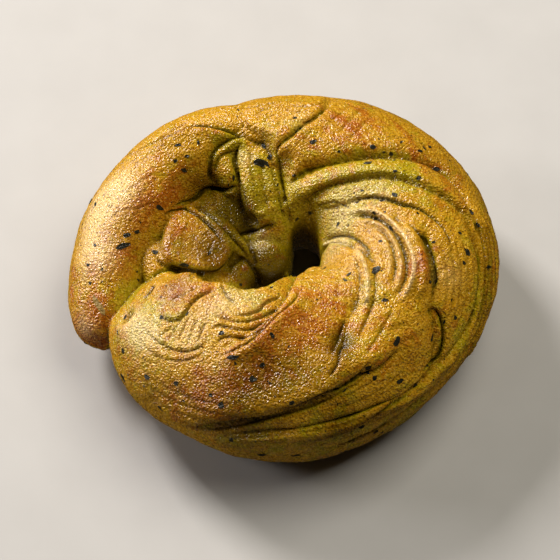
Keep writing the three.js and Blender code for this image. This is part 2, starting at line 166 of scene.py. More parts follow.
# Finer folds, drawn as the camera sees them: the pixels that a line passes, the depth and width of
# its cut, and the height and reach of a swell on its left and on its right, mm
VIEW_FOLDS = {
    "tail's upper edge": ([(247, 138), (240, 137), (232, 134), (220, 130), (205, 127), (190, 127),
        (176, 132), (162, 140), (148, 149)], 1.8, 0.55, (1.5, 2.4), (0, 1)),
    "above the tail's upper edge": ([(195, 119), (182, 125), (168, 133), (154, 142), (140, 150),
        (128, 160)], 0.8, 0.5, (0.4, 2), (0.3, 2)),
    "near the far edge": ([(228, 104), (241, 108), (255, 107), (265, 105), (289, 100)], 0.9, 0.5, (0.3, 2),
        (0.6, 2.5)),
    "middle piece's outline": ([(250, 118), (244, 125), (243, 132), (248, 138), (257, 142), (266, 144)],
        0.7, 0.6, (0.5, 3), (0, 1)),
    "middle piece, outer arc": ([(252, 120), (262, 111), (280, 107), (298, 107), (313, 105), (327, 101)],
        0.8, 0.5, (0, 1), (0.4, 1.8)),
    "middle piece, second arc": ([(262, 124), (270, 117), (284, 112), (300, 109)], 0.5, 0.5, (0, 1),
        (0.3, 1.5)),
    "middle piece, inner arc": ([(273, 131), (282, 120), (293, 114), (310, 111), (320, 111)], 0.6, 0.5,
        (0, 1), (0.5, 1.8)),
    "middle piece, short arc": ([(319, 116), (311, 121), (303, 122), (296, 120)], 0.7, 0.45, (0, 1),
        (0.3, 1.2)),
    "left edge of the top bulge": ([(333, 104), (324, 112), (312, 121), (302, 128), (293, 136), (284, 143),
        (278, 150), (277, 162)], 0.9, 0.5, (0.9, 2.5), (0, 1)),
    "tuck's outline": ([(247, 139), (238, 138), (229, 141), (220, 147), (213, 156), (211, 166), (211, 176),
        (213, 184)], 1.8, 0.8, (0.9, 2), (0, 1)),
    "tuck's second arc": ([(214, 174), (215, 164), (220, 156), (228, 152), (238, 151)], 0.8, 0.5,
        (0.5, 1.5), (0, 1)),
    "tuck's foot": ([(208, 186), (216, 188), (228, 188), (238, 185)], 0.7, 0.6, (0.4, 1.5), (0, 1)),
    "strap's left edge": ([(244, 141), (238, 149), (236, 160), (238, 171), (241, 182), (244, 194),
        (247, 208)], 1.8, 0.7, (1.2, 1.6), (0, 1)),
    "strap's left lip": ([(252, 146), (250, 156), (251, 168), (253, 180), (256, 192)], 0.5, 0.7, (0, 1),
        (0.3, 1.2)),
    "strap's trough": ([(262, 158), (263, 176), (265, 194), (269, 210)], 1.1, 1.6, (0, 1), (0, 1)),
    "strap's right lip": ([(272, 162), (275, 178), (278, 192), (282, 207), (286, 222)], 0.8, 0.5,
        (0.7, 1.1), (0, 1)),
    "strap's right edge": ([(277, 150), (279, 168), (282, 186), (286, 202), (290, 216)], 0.5, 0.5, (0, 1),
        (0.5, 1)),
    "flap's edge": ([(168, 211), (180, 205), (190, 202), (198, 198), (206, 190), (214, 190), (224, 191),
        (234, 188), (241, 187)], 1.2, 0.6, (0, 1), (1.1, 1.6)),
    "flap's middle": ([(226, 198), (228, 212), (231, 226)], 0.4, 1.4, (0.3, 2), (0.3, 2)),
    "lobe's upper edge": ([(161, 222), (168, 213), (178, 210), (188, 211), (199, 217), (209, 226),
        (218, 237), (225, 248)], 1.6, 0.5, (0.6, 1.2), (0.8, 1.2)),
    "outside the band": ([(190, 206), (201, 210), (213, 218), (224, 229), (234, 240), (244, 252),
        (252, 264)], 1.6, 0.6, (0, 1), (0.6, 1.2)),
    "lobe's small ridge": ([(184, 218), (186, 222), (184, 227), (179, 229)], 0.0, 0.3, (0.35, 0.35),
        (0.35, 0.35)),
    "lobe's swirl": ([(198, 238), (205, 234), (212, 238), (213, 246), (206, 252), (197, 250)], 0.25, 0.5,
        (0.25, 1), (0, 1)),
    "lobe's lower edge": ([(154, 250), (159, 260), (168, 266), (184, 269), (202, 272), (216, 271),
        (226, 264), (232, 256)], 1.0, 0.7, (0.8, 2.5), (0, 1)),
    "ball's upper edge": ([(240, 236), (246, 234), (256, 232), (266, 229), (278, 224)], 2.0, 0.8, (0, 1),
        (1.0, 1.8)),
    "ball's left edge": ([(243, 237), (249, 246), (253, 256), (256, 268)], 1.0, 0.6, (0, 1), (0.3, 1.5)),
    "bump's edge": ([(231, 274), (233, 265), (239, 260), (246, 261), (252, 267), (256, 276), (257, 286)],
        1.3, 0.6, (0, 1), (0.5, 1.5)),
    "slit by the tail's tip": ([(143, 299), (149, 293), (155, 285)], 2.2, 0.7, (0.6, 1.2), (0.6, 1.5)),
    "band under the lobe": ([(152, 280), (158, 274), (170, 271), (190, 273), (204, 276)], 1.0, 0.6, (0, 1),
        (0.9, 2.5)),
    "torn fold": ([(158, 311), (165, 318), (173, 321), (181, 318), (187, 310), (193, 302), (201, 296),
        (210, 292), (218, 291)], 0.9, 0.6, (0.9, 2.4), (0.3, 2)),
    "crease inside the torn fold": ([(170, 300), (180, 297), (190, 292), (200, 286)], 0.6, 0.6, (0.5, 1.5),
        (0.4, 1.5)),
    "first layer": ([(284, 296), (273, 299), (264, 304), (261, 309), (253, 313), (243, 315), (232, 314)],
        1.4, 0.5, (0.4, 1), (0.5, 1.2)),
    "second layer": ([(284, 306), (272, 312), (260, 318), (248, 321), (236, 322), (224, 318), (212, 316)],
        1.3, 0.5, (0.4, 1), (0.5, 1.2)),
    "third layer": ([(276, 315), (264, 323), (252, 329), (240, 330), (228, 327), (217, 326), (208, 330)],
        1.3, 0.5, (0.4, 1), (0.5, 1.2)),
    "fourth layer": ([(268, 322), (256, 332), (244, 338), (232, 337), (222, 338), (215, 346)], 1.2, 0.5,
        (0.4, 1), (0.4, 1.2)),
    "behind the pointed bump": ([(221, 284), (224, 291), (229, 298), (236, 304)], 1.3, 0.6, (0.5, 1.5),
        (0.4, 1.5)),
    "front bulge's upper edge": ([(304, 286), (296, 298), (287, 307), (278, 314), (270, 323), (262, 331),
        (251, 341), (239, 348), (226, 354), (213, 361)], 1.2, 0.5, (0.9, 2.5), (0, 1)),
    "first ray": ([(183, 318), (175, 330), (167, 342)], 0.6, 0.5, (0.3, 1), (0.3, 1)),
    "second ray": ([(191, 314), (184, 328), (177, 344)], 0.7, 0.5, (0.3, 1), (0.3, 1)),
    "third ray": ([(198, 318), (192, 332), (187, 347)], 0.6, 0.5, (0.3, 1), (0.3, 1)),
    "fourth ray": ([(206, 320), (201, 333), (197, 345)], 0.8, 0.5, (0.3, 1), (0.3, 1)),
    "fifth ray": ([(174, 323), (167, 331), (158, 338)], 0.7, 0.5, (0.3, 1), (0.3, 1)),
    "inner arc below the rays": ([(143, 326), (151, 336), (162, 344), (175, 350), (189, 351), (201, 346),
        (212, 338)], 0.6, 0.7, (0.6, 1.8), (0.2, 1)),
    "outer arc below the rays": ([(138, 338), (148, 350), (162, 358), (178, 361), (194, 358), (208, 350)],
        0.5, 0.6, (0.4, 1.8), (0.2, 1)),
    "above the third fold's left end": ([(314, 207), (324, 204), (336, 202), (346, 206), (352, 211)], 0.8,
        0.5, (0.6, 1.5), (0.4, 1)),
    "third fold again": ([(346, 204), (358, 201), (372, 199), (387, 201), (402, 206), (418, 210),
        (431, 218), (442, 228), (450, 243), (455, 260)], 1.0, 0.6, (0, 1), (0.8, 1.5)),
    "bright ridge": ([(341, 214), (352, 211), (364, 210), (377, 212), (389, 219), (399, 229), (407, 241),
        (412, 253), (414, 266), (411, 281), (405, 294), (398, 306)], 0.0, 0.5, (0.9, 0.6), (0.9, 0.6)),
    "inside the bright ridge": ([(347, 218), (362, 216), (376, 218), (388, 226), (398, 239), (404, 254),
        (406, 270), (402, 286), (394, 300)], 1.1, 0.45, (0, 1), (0, 1)),
    "second bright ridge": ([(352, 223), (368, 221), (382, 226), (392, 238), (398, 250), (401, 264),
        (399, 280), (393, 296)], 0.0, 0.5, (0.7, 0.5), (0.7, 0.5)),
    "inside the second ridge": ([(372, 227), (384, 233), (391, 245), (395, 258), (395, 272), (391, 288)],
        0.8, 0.45, (0, 1), (0, 1)),
    "third bright ridge": ([(374, 232), (383, 238), (388, 249), (390, 262), (388, 278)], 0.0, 0.5,
        (0.4, 0.5), (0.4, 0.5)),
    "outside the bright ridge": ([(384, 211), (396, 219), (406, 230), (414, 243), (419, 257), (420, 272),
        (417, 287), (410, 302)], 0.4, 0.5, (0, 1), (0, 1)),
    "orange band": ([(402, 222), (412, 236), (420, 252), (424, 268), (422, 284), (415, 300)], 0.0, 1.0,
        (1.0, 1.4), (1.0, 1.4)),
    "outside the orange band": ([(404, 219), (413, 227), (422, 238), (429, 250), (433, 264), (434, 279),
        (433, 295), (430, 310)], 1.6, 0.5, (0, 1), (0.4, 1.5)),
    "lip's thin ridge": ([(322, 246), (331, 242), (341, 241), (351, 244)], 0.0, 0.4, (0.6, 0.4),
        (0.6, 0.4)),
    "above the lip": ([(326, 241), (338, 237), (349, 237), (358, 242), (366, 250), (371, 259)], 1.8, 0.6,
        (0, 1), (0.5, 1.2)),
    "short ridge below it": ([(352, 246), (360, 254), (365, 266), (368, 280), (367, 296), (366, 314)], 0.0,
        0.5, (0.7, 0.5), (0.7, 0.5)),
    "right of the short ridge": ([(370, 262), (374, 274), (375, 290), (371, 306), (364, 324), (355, 342)],
        0.8, 0.6, (0, 1), (0.4, 1.5)),
    "left of the short ridge": ([(353, 256), (358, 268), (360, 284), (358, 300), (354, 316)], 0.7, 0.5,
        (0.3, 1), (0, 1)),
    "middle of the lip": ([(343, 262), (340, 276), (338, 290), (338, 304)], 0.5, 0.8, (0.3, 1.5),
        (0.3, 1.5)),
    "right edge": ([(452, 205), (465, 222), (474, 245), (478, 275), (474, 305), (462, 340)], 1.3, 0.7,
        (0.4, 1.5), (0.4, 1.5)),
    "deep groove on the right": ([(427, 308), (434, 311), (439, 318), (442, 328), (442, 340), (439, 350),
        (434, 360), (428, 369), (421, 379)], 2.6, 0.7, (0, 1), (0.7, 1.2)),
    "front bulge's long crease": ([(374, 357), (364, 368), (351, 379), (337, 387), (322, 394), (308, 401),
        (292, 407), (272, 411)], 1.3, 0.45, (0, 1), (0.6, 1.6)),
    "second under the front bulge": ([(372, 367), (360, 381), (346, 389), (330, 398), (312, 406),
        (290, 413), (258, 421), (228, 428), (197, 429)], 1.0, 0.5, (0.4, 1.5), (0.4, 1.5)),
    "near lip": ([(416, 388), (404, 396), (392, 403), (380, 412), (369, 419), (355, 427), (338, 434),
        (316, 440), (289, 444)], 2.0, 0.6, (0.3, 1.5), (1.5, 1.8)),
    "over the near lip": ([(335, 426), (312, 431), (289, 434), (258, 437), (220, 439)], 0.8, 0.5, (0.3, 1),
        (0.3, 1)),
    "under the near lip": ([(408, 408), (394, 417), (378, 427), (358, 437), (334, 446)], 0.9, 0.5,
        (0.4, 1.2), (0.4, 1.2)),
    "lower right edge": ([(491, 302), (484, 330), (471, 350), (456, 372), (437, 393), (423, 408),
        (410, 420)], 1.3, 0.8, (0.5, 1.5), (0.5, 1.5)),
    "valley right of the front bulge": ([(356, 290), (351, 312), (346, 332), (340, 352)], 1.6, 3.0, (0, 1),
        (0, 1)),
    "dent of the front bulge": ([(347, 316), (343, 324), (340, 334), (336, 345), (331, 356)], 1.3, 0.6,
        (0.6, 1.2), (0.2, 2)),
    "curl of the dent below": ([(350, 347), (344, 346), (340, 351), (339, 361), (335, 369), (329, 378)],
        1.3, 0.6, (0.6, 1.2), (0.3, 2)),
    "right of the dents": ([(396, 303), (389, 317), (382, 331), (373, 345), (363, 360)], 0.7, 0.6,
        (0.4, 1.5), (0.3, 2)),
    "top bulge's long wrinkle": ([(385, 140), (400, 138), (415, 141), (431, 148)], 0.5, 0.6, (0, 1),
        (0.4, 2)),
    "top bulge's first wrinkle": ([(366, 106), (356, 115), (345, 126), (336, 138)], 0.5, 0.6, (0.3, 1.5),
        (0.3, 1.5)),
    "top bulge's second wrinkle": ([(378, 112), (366, 122), (355, 134), (346, 146)], 0.5, 0.6, (0.3, 1.5),
        (0.3, 1.5)),
    "top bulge's third wrinkle": ([(350, 104), (342, 113), (332, 122), (322, 134)], 0.4, 0.6, (0.3, 1.5),
        (0.3, 1.5)),
    "first wrinkle of the tail": ([(154, 202), (139, 208), (119, 212), (111, 221)], 0.5, 0.5, (0.3, 1),
        (0.3, 1)),
    "second wrinkle of the tail": ([(155, 174), (141, 181), (133, 188), (124, 197)], 0.5, 0.5, (0.3, 1),
        (0.3, 1)),
    "third wrinkle of the tail": ([(119, 265), (113, 272), (110, 279), (108, 290)], 0.5, 0.5, (0.3, 1),
        (0.3, 1)),
}

FADE_SHARE = 0.18                   # share of a fold's length over which it fades in, and out
LONGEST_STEP = 4.0                  # mm; where a line steps further on the skin, it is cut in two
SWELL_SPAN = 3                      # a swell has faded away at this many times its reach,
CUT_SPAN = 6                        # and a cut at this many times its width
# Painted shade in the creases that are drawn in the view
PAINTED_CREASE_SHADE_PER_MM = 0.5               # for each mm of a crease's depth
DARKEST_PAINTED_CREASE_SHADE = 0.75
CREASE_REACH = 0.9                  # of the fold's width, but at least
SMALLEST_REACH = 0.4                # mm
WIDEST_CREASE = 1.0                 # mm; wider folds are soft dips, which stay as light as the rest

# Ridges with a painted highlight along them: how far the painted highlight reaches from them, mm, and its
# strength
PAINTED_HIGHLIGHT_RIDGES = {
    "bright ridge": (0.7, 1.0),
    "second bright ridge": (0.6, 0.6),
    "third bright ridge": (0.5, 0.6),
    "lip's thin ridge": (0.6, 1.0),
    "short ridge below it": (0.7, 0.8),
}

# Families of fine folds: the first line, the last, how many there are, and the depth and width of
# their cuts. Each has a swell on both sides, its height in cuts and its reach in widths.
FAMILY_SWELL = (0.5, 3)
VIEW_FAMILIES = {
    "right edge": ([(462, 206), (482, 240), (484, 290), (474, 330), (452, 366)], [(478, 206), (493, 240),
        (495, 290), (486, 325), (466, 358)], 4, 1.3, 0.8),
    "along the tail": ([(228, 142), (200, 150), (172, 166), (144, 192), (120, 228), (104, 268)],
        [(212, 152), (194, 166), (172, 186), (152, 212), (134, 246), (120, 286)], 4, 0.15, 0.6),
    "along the tail's outside": ([(196, 112), (164, 128), (132, 155), (108, 190), (90, 230)], [(190, 128),
        (164, 142), (136, 168), (115, 202), (98, 240)], 3, 0.25, 0.5),
    "over the near lip": ([(440, 372), (400, 395), (360, 412), (300, 428)], [(450, 378), (410, 404),
        (368, 424), (310, 442)], 3, 0.5, 0.45),
    "across the flap": ([(214, 194), (216, 208), (222, 222)], [(238, 192), (240, 206), (243, 222)], 5, 0.25,
        0.35),
    "across the lobe": ([(176, 222), (174, 240), (178, 258)], [(214, 240), (210, 252), (202, 264)], 5, 0.18,
        0.45),
    "right shoulder": ([(438, 238), (446, 262), (448, 286), (444, 310), (436, 332)], [(467, 230),
        (474, 258), (474, 286), (468, 314), (456, 340)], 5, 0.5, 0.45),
    "over the long crease": ([(388, 350), (372, 366), (352, 381), (326, 393)], [(424, 366), (404, 388),
        (374, 406), (338, 420)], 4, 0.45, 0.4),
    "lower left": ([(128, 352), (150, 378), (190, 398), (240, 408)], [(134, 380), (160, 404), (200, 420),
        (248, 428)], 3, 0.3, 0.6),
}

# Dents and openings: the pixel, radius and depth, mm
PITS = {
    "opening at the tail's tip": ((126, 316), 1.8, 4.0),
    "beside the middle piece": ((237, 131), 0.6, 0.8),
    "pocket under the strap": ((251, 222), 2.0, 2.5),
    "wet lump": ((263, 213), 0.8, -0.8),
    "second wet lump": ((268, 219), 0.7, -0.6),
    "gap beside the strap": ((283, 200), 1.0, 0.8),
}

# Leaf flakes that stand out: the pixel, length and width, mm, and their turn on the surface, degrees
LEAF_FLAKES = [
    ((262, 163), 4.6, 1.9, -10), ((264, 146), 1.6, 1.2, 70), ((269, 158), 1.2, 1.0, 40),
    ((123, 246), 4.0, 1.4, 25), ((127, 235), 2.4, 1.2, 20), ((137, 232), 1.5, 1.1, 0),
    ((95, 193), 2.4, 0.9, 50), ((91, 201), 1.8, 0.8, 60), ((155, 252), 1.8, 1.1, -10),
    ((184, 265), 2.6, 1.1, 0), ((162, 317), 1.6, 1.0, 40), ((221, 333), 1.6, 1.0, 20),
    ((233, 357), 3.4, 0.9, 0), ((253, 379), 2.0, 1.5, 0), ((272, 335), 1.8, 0.8, -60),
    ((262, 365), 1.6, 1.0, 50), ((221, 405), 2.0, 1.4, 0), ((123, 378), 2.4, 0.9, -45),
    ((147, 377), 1.6, 1.0, -40), ((176, 383), 1.4, 1.0, 30), ((160, 408), 2.0, 0.8, -30),
    ((349, 274), 1.6, 0.7, 50), ((345, 280), 1.4, 0.6, -50), ((375, 271), 2.8, 1.6, 40),
    ((378, 268), 1.6, 1.0, 40), ((385, 300), 1.8, 0.9, 0), ((397, 341), 2.8, 1.3, 60),
    ((432, 338), 2.4, 0.7, 65), ((467, 252), 2.2, 1.3, -55), ((488, 268), 2.6, 1.2, -60),
    ((464, 263), 1.1, 0.8, -50), ((460, 233), 1.2, 0.9, 0), ((436, 169), 1.8, 1.2, 0),
    ((368, 163), 2.2, 1.1, 0), ((419, 178), 1.4, 1.0, 0), ((395, 171), 1.2, 0.6, 0),
    ((395, 195), 1.8, 1.1, -40), ((374, 213), 1.2, 0.8, 0), ((377, 220), 2.6, 1.2, -35),
    ((391, 228), 1.6, 0.8, -30), ((338, 224), 1.2, 0.8, 50), ((297, 219), 1.2, 0.8, 50),
    ((310, 213), 1.2, 0.8, 0), ((400, 381), 2.2, 1.0, 15), ((415, 386), 1.5, 0.8, 40),
    ((392, 431), 3.4, 1.2, 20), ((376, 432), 1.6, 0.8, 10), ((362, 426), 1.8, 0.8, 20),
    ((455, 318), 1.4, 1.0, 60), ((313, 142), 2.2, 1.0, 20), ((296, 132), 1.4, 0.9, 50),
    ((295, 118), 1.2, 0.7, 0), ((373, 147), 1.8, 1.0, 0), ((391, 154), 1.4, 0.8, 0),
    ((175, 161), 1.2, 1.0, 70), ((187, 156), 1.2, 0.8, 0), ((184, 170), 1.6, 1.0, -30),
    ((160, 208), 2.2, 1.0, -30), ((178, 145), 1.8, 0.6, 10), ((95, 245), 0.9, 0.8, 0),
    ((88, 265), 1.0, 0.8, 0), ((90, 283), 0.9, 0.8, 0), ((231, 440), 1.4, 1.0, 60),
    ((292, 403), 1.6, 1.0, 10), ((262, 455), 2.2, 0.9, 0), ((297, 455), 2.2, 1.0, 15),
    ((430, 147), 1.2, 0.8, 0), ((420, 151), 1.4, 0.7, 0), ((444, 322), 1.2, 0.6, 60),
    ((368, 368), 1.8, 1.1, 40), ((437, 280), 1.4, 0.8, 70), ((430, 282), 1.2, 0.8, 70),
    ((471, 212), 1.8, 0.9, -50), ((478, 225), 1.6, 0.6, -60), ((452, 300), 1.4, 0.8, 0),
    ((340, 352), 1.6, 0.6, 60),
]
PALE_FLAKES = [((98, 304), 5.6, 1.6, -56), ((366, 300), 2.2, 0.8, 60), ((272, 253), 0.9, 0.5, 20)]
SMALL_FLAKES = 420
SMALL_FLAKE_SIZES = (0.4, 1.7)      # mm
SMALL_FLAKE_RARITY = 3              # the higher, the fewer large ones
SMALL_FLAKE_WIDTHS = (0.3, 0.75)    # of their length
LOWEST_FACING = -0.3                # small flakes lie where the skin faces no further down than this

# How a flake lies and how ragged it is
FLAKE_LIFT = 0.1                    # mm
SMALL_FLAKE_LIFT = 0.06             # mm
FLAKE_THICKNESS = 0.14              # mm
LEAST_LIFT = 0.4                    # of a flake's lift
FLAKE_RINGS = (0.0, 0.55, 1.0)      # where its points lie, from its middle to its edge
UNEVENNESS = 0.25                   # of a corner's distance, and of the step to the next one
LARGE_FLAKE = 1.5                   # mm
LARGE_FLAKE_CORNERS = 9
SMALL_FLAKE_CORNERS = 6
SIDE_WIDTH = 1.15                   # of its width
END_WIDTH = 0.9                     # of its width, where it is
NEAR_THE_END = 0.8                  # of the way from the middle to an end or further
SHORTEST_AXIS = 0.1                 # of 1; where it is shorter, another axis is taken

# Noise with random values in a table, which three large primes pick for each cell
NOISE_VALUES = 4096
CELL_PRIMES = (73856093, 19349663, 83492791)

# Unevenness of the dough: the height and the cell size, mm. Streaks have theirs for the two ways
# across the roll and for the way along it.
SOFT_LUMPS = [(0.35, 9.0), (0.16, 4.0)]
STREAKS = [(0.16, (1.6, 1.6, 14.0)), (0.10, (0.8, 0.8, 9.0))]
BLISTERS = [(0.07, 1.3)]
BROWN_STREAKS = [(1.0, (2.2, 2.2, 18.0))]
MOUTH_FADE = 3                      # mm over which the streaks end at the mouth's edge
FLOW_SEAM = 165                     # degrees around, under the tail, where the streaks break off
FLOW_RADII = (22, 30)               # of the roll and of the ring, as the streaks go, mm

# Seeds of all that is random; a noise's second layer has the next number
LUMP_SEED = 1
STREAK_SEED = 3
BLISTER_SEED = 5
BROWN_STREAK_SEED = 6
FLAKE_SEED = 5
SKY_SEED = 11

# How the open sky and the ridges are measured
SKY_RAYS = 20                       # from each point
SKY_REACH = 25.0                    # mm
SKY_LIFT = 0.25                     # mm from the skin to a ray's start
SKY_LEAN = 1.05                     # how closely the rays keep to the way that the skin faces
SKY_SMOOTHING = 3                   # rounds
LEVEL_SMOOTHING = 25                # rounds that give the level from which a ridge is measured
RIDGE_SMOOTHING = 1                 # rounds


# ---------------------------------------------------------------- curves and places on the ring

def between(a, b, c, d, share):
    """The smooth curve through four values, or places, at a share of the way from b to c."""
    return 0.5 * (2 * b + (c - a) * share + (2 * a - 5 * b + 4 * c - d) * share ** 2
                  + (3 * b - a - 3 * c + d) * share ** 3)


def value_at_angle(values, angles):
    """A smooth closed curve through evenly spaced values, read at angles in degrees."""
    values = np.asarray(values, float)
    count = len(values)
    place = (np.asarray(angles) % 360) / 360 * count
    before = np.floor(place).astype(int)
    share = place - before
    four = [values[(before + step) % count] for step in (-1, 0, 1, 2)]
    return between(*four, share)


def smooth_curve(places, per_span=CURVE_STEPS, closed=False):
    """Points on a smooth curve through places."""
    places = np.asarray(places, float)
    if closed:
        ends = np.vstack([places[-1:], places, places[:2]])
    else:
        ends = np.vstack([2 * places[0] - places[1], places, 2 * places[-1] - places[-2]])
    share = np.linspace(0, 1, per_span, endpoint=False)[:, None]
    spans = [between(*four, share) for four in zip(ends, ends[1:], ends[2:], ends[3:])]
    if not closed:
        spans.append(places[-1:])
    return np.vstack(spans)


def eased(share):
    share = np.clip(share, 0, 1)
    return share * share * (3 - 2 * share)


def outline_radii(angles):
    """The hole's radius and the outer outline's, both from the hole's middle."""
    outward = np.stack([np.cos(angles), np.sin(angles)], -1)
    inner = 1 / np.hypot(outward[..., 0] / HOLE_HALF_SIZES[0], outward[..., 1] / HOLE_HALF_SIZES[1])
    along = outward @ HOLE_MIDDLE
    outer = np.full(inner.shape, OUTER_RADII[0])
    for _ in range(OUTLINE_ROUNDS):
        x = HOLE_MIDDLE[0] + outer * outward[..., 0]
        y = HOLE_MIDDLE[1] + outer * outward[..., 1]
        radius = value_at_angle(OUTER_RADII, np.degrees(np.arctan2(y, x)))
        outer = -along + np.sqrt(along ** 2 - HOLE_MIDDLE @ HOLE_MIDDLE + radius ** 2)
    return inner, outer


def settle(heights):
    """Dough below the table's level is pressed up onto it."""
    pressed = (heights + SETTLE_DEPTH) ** 2 / (4 * SETTLE_DEPTH)
    return np.where(heights > SETTLE_DEPTH, heights, np.where(heights < -SETTLE_DEPTH, 0, pressed))


def ring_points(around, over, raised=0.0):
    """Points of the smooth ring, raised by a relief, and the directions that they face."""
    angle = np.radians(around)
    inner, outer = outline_radii(angle)
    half_width = (outer - inner) / 2
    cos = np.cos(np.radians(over))
    sin = np.sin(np.radians(over))
    half_height = np.where(sin > 0, value_at_angle(TOP_RISES, around), HALF_HEIGHT_BELOW)
    facing = np.stack([
        cos / half_width * np.cos(angle),
        cos / half_width * np.sin(angle),
        sin / half_height,
    ], -1)
    facing /= np.linalg.norm(facing, axis=-1, keepdims=True)
    radius = (inner + outer) / 2 + half_width * cos
    points = np.stack([
        HOLE_MIDDLE[0] + radius * np.cos(angle),
        HOLE_MIDDLE[1] + radius * np.sin(angle),
        MIDDLE_HEIGHT + half_height * sin,
    ], -1)
    points = points + facing * np.asarray(raised)[..., None]
    points[..., 2] = settle(points[..., 2])
    return points, facing


# ---------------------------------------------------------------- folds

def nearest_on_line(points, line, reach):
    """Of the points near a line: their indices, distance, nearest segment, place on that segment
    and share of the line's length."""
    steps = line[1:] - line[:-1]
    lengths = np.linalg.norm(steps, axis=1) + 1e-9
    passed = np.concatenate([[0], np.cumsum(lengths)])
    inside = (points > line.min(0) - reach) & (points < line.max(0) + reach)
    near = np.where(inside.all(-1))[0]
    best = np.full(len(near), np.inf)
    segment = np.zeros(len(near), int)
    place = np.zeros(len(near))
    for index, (start, step, length) in enumerate(zip(line, steps, lengths)):
        offset = points[near] - start
        share = np.clip(offset @ step / length ** 2, 0, 1)
        distance = np.linalg.norm(offset - share[:, None] * step, axis=1)
        closer = distance < best
        best[closer] = distance[closer]
        segment[closer] = index
        place[closer] = share[closer]
    share = (passed[segment] + place * lengths[segment]) / passed[-1]
    return near, best, segment, place, share


def bell(distance, reach):
    """A share that is 1 at no distance and fades away beyond the reach."""
    return np.exp(-(distance / reach) ** 2)


def fold_relief(distance, on_left, cut, width, left, right):
    swells = [height * bell(distance, reach) for height, reach in (left, right)]
    return np.where(on_left, swells[0], swells[1]) - cut * np.exp(-distance / width)


def fold_reach(width, left, right):
    swells = [SWELL_SPAN * reach for height, reach in (left, right) if height]
    return max([CUT_SPAN * width] + swells)


def ring_relief(points, facing):
    """The height of all the ring's folds at its points."""
    raised = np.zeros(len(points))
    for places, cut, width, left, right, fade_in, fade_out in FOLDS.values():
        around, over = smooth_curve(places).T
        line, _ = ring_points(around, over)
        reach = fold_reach(width, left, right)
        near, distance, segment, place, share = nearest_on_line(points, line, reach)
        step = (line[1:] - line[:-1])[segment]
        offset = points[near] - line[segment] - place[:, None] * step
        on_left = np.einsum("ij,ij->i", np.cross(facing[near], step), offset) > 0
        fade = eased(share / fade_in) * eased((1 - share) / fade_out)
        raised[near] += fade * fold_relief(distance, on_left, cut, width, left, right)
    return raised


def inside_distance(points, outline):
    """How far points lie inside a closed outline; negative outside it."""
    x, y = points[:, 0], points[:, 1]
    inside = np.zeros(len(points), bool)
    distance = np.full(len(points), np.inf)
    for (x0, y0), (x1, y1) in zip(outline, np.roll(outline, -1, 0)):
        inside ^= ((y0 > y) != (y1 > y)) & (x < (x1 - x0) * (y - y0) / (y1 - y0 + 1e-12) + x0)
        share = ((x - x0) * (x1 - x0) + (y - y0) * (y1 - y0)) / ((x1 - x0) ** 2 + (y1 - y0) ** 2)
        share = np.clip(share, 0, 1)
        distance = np.minimum(distance, np.hypot(x - x0 - share * (x1 - x0), y - y0 - share * (y1 - y0)))
    return np.where(inside, distance, -distance)


def inside_hollow(points, outline):
    return inside_distance(points, smooth_curve(outline, OUTLINE_STEPS, closed=True))


def press_hollow(points, outline, rim, floor, steepness, softness):
    inside = inside_hollow(points, outline)
    heights = points[:, 2]
    wall = np.maximum(floor, rim - steepness * inside)
    mix = np.clip(0.5 + 0.5 * (heights - wall) / softness, 0, 1)
    pressed = heights * (1 - mix) + wall * mix - softness * mix * (1 - mix)
    points[:, 2] = np.where(heights > floor - softness, pressed, heights)


# ---------------------------------------------------------------- the pieces of dough

def grid_faces(rows, columns, rows_closed):
    """Quads of a grid whose columns close on themselves, and its rows too if so asked."""
    rows_begun = rows if rows_closed else rows - 1
    row, column = np.meshgrid(np.arange(rows_begun), np.arange(columns), indexing="ij")
    row_after = (row + 1) % rows
    column_after = (column + 1) % columns
    corners = [row * columns + column, row_after * columns + column,
               row_after * columns + column_after, row * columns + column_after]
    return np.stack(corners, -1).reshape(-1, 4)


def tube_faces(rings, sides):
    """Faces of rings of points, closed at both ends by the two points that come after them."""
    faces = grid_faces(rings, sides, False).tolist()
    end = rings * sides
    last = end - sides
    for side in range(sides):
        after = (side + 1) % sides
        faces.append([end, side, after])
        faces.append([end + 1, last + after, last + side])
    return faces


def make_ring():
    around, over = np.meshgrid(np.arange(AROUND_STEPS) * 360 / AROUND_STEPS,
                               np.arange(OVER_STEPS) * 360 / OVER_STEPS, indexing="ij")
    around, over = around.ravel(), over.ravel()
    smooth, facing = ring_points(around, over)
    points, _ = ring_points(around, over, ring_relief(smooth, facing))
    for hollow in HOLLOWS.values():
        press_hollow(points, *hollow)
    return points, grid_faces(AROUND_STEPS, OVER_STEPS, True).tolist()


def squarer(values, share):
    """Cosines or sines that run round a squarer outline, by a share from 0, round, to 1."""
    return np.sign(values) * np.abs(values) ** (1 - share)


def make_rope(stations, sides, squareness=0.0):
    """A piece swept along stations of a middle, a half width and a half height.

    A point at each end closes it.
    """
    stations = smooth_curve(stations)
    middles, half_widths, half_heights = stations[:, :3], stations[:, 3], stations[:, 4]
    along = np.gradient(middles, axis=0)
    along /= np.linalg.norm(along, axis=1, keepdims=True)
    sideways = np.cross(along, (0, 0, 1))
    sideways /= np.linalg.norm(sideways, axis=1, keepdims=True)
    upward = np.cross(sideways, along)
    turns = np.arange(sides) * 2 * np.pi / sides
    cos, sin = squarer(np.cos(turns), squareness), squarer(np.sin(turns), squareness)
    points = (middles[:, None] + sideways[:, None] * (half_widths[:, None] * cos)[..., None]
              + upward[:, None] * (half_heights[:, None] * sin)[..., None])
    ends = [middles[0] - along[0] * half_widths[0] / 2, middles[-1] + along[-1] * half_widths[-1] / 2]
    points = np.vstack([points.reshape(-1, 3), ends])
    points[:, 2] = settle(points[:, 2])
    return points, tube_faces(len(middles), sides)


def cos_and_sin(degrees):
    return math.cos(math.radians(degrees)), math.sin(math.radians(degrees))


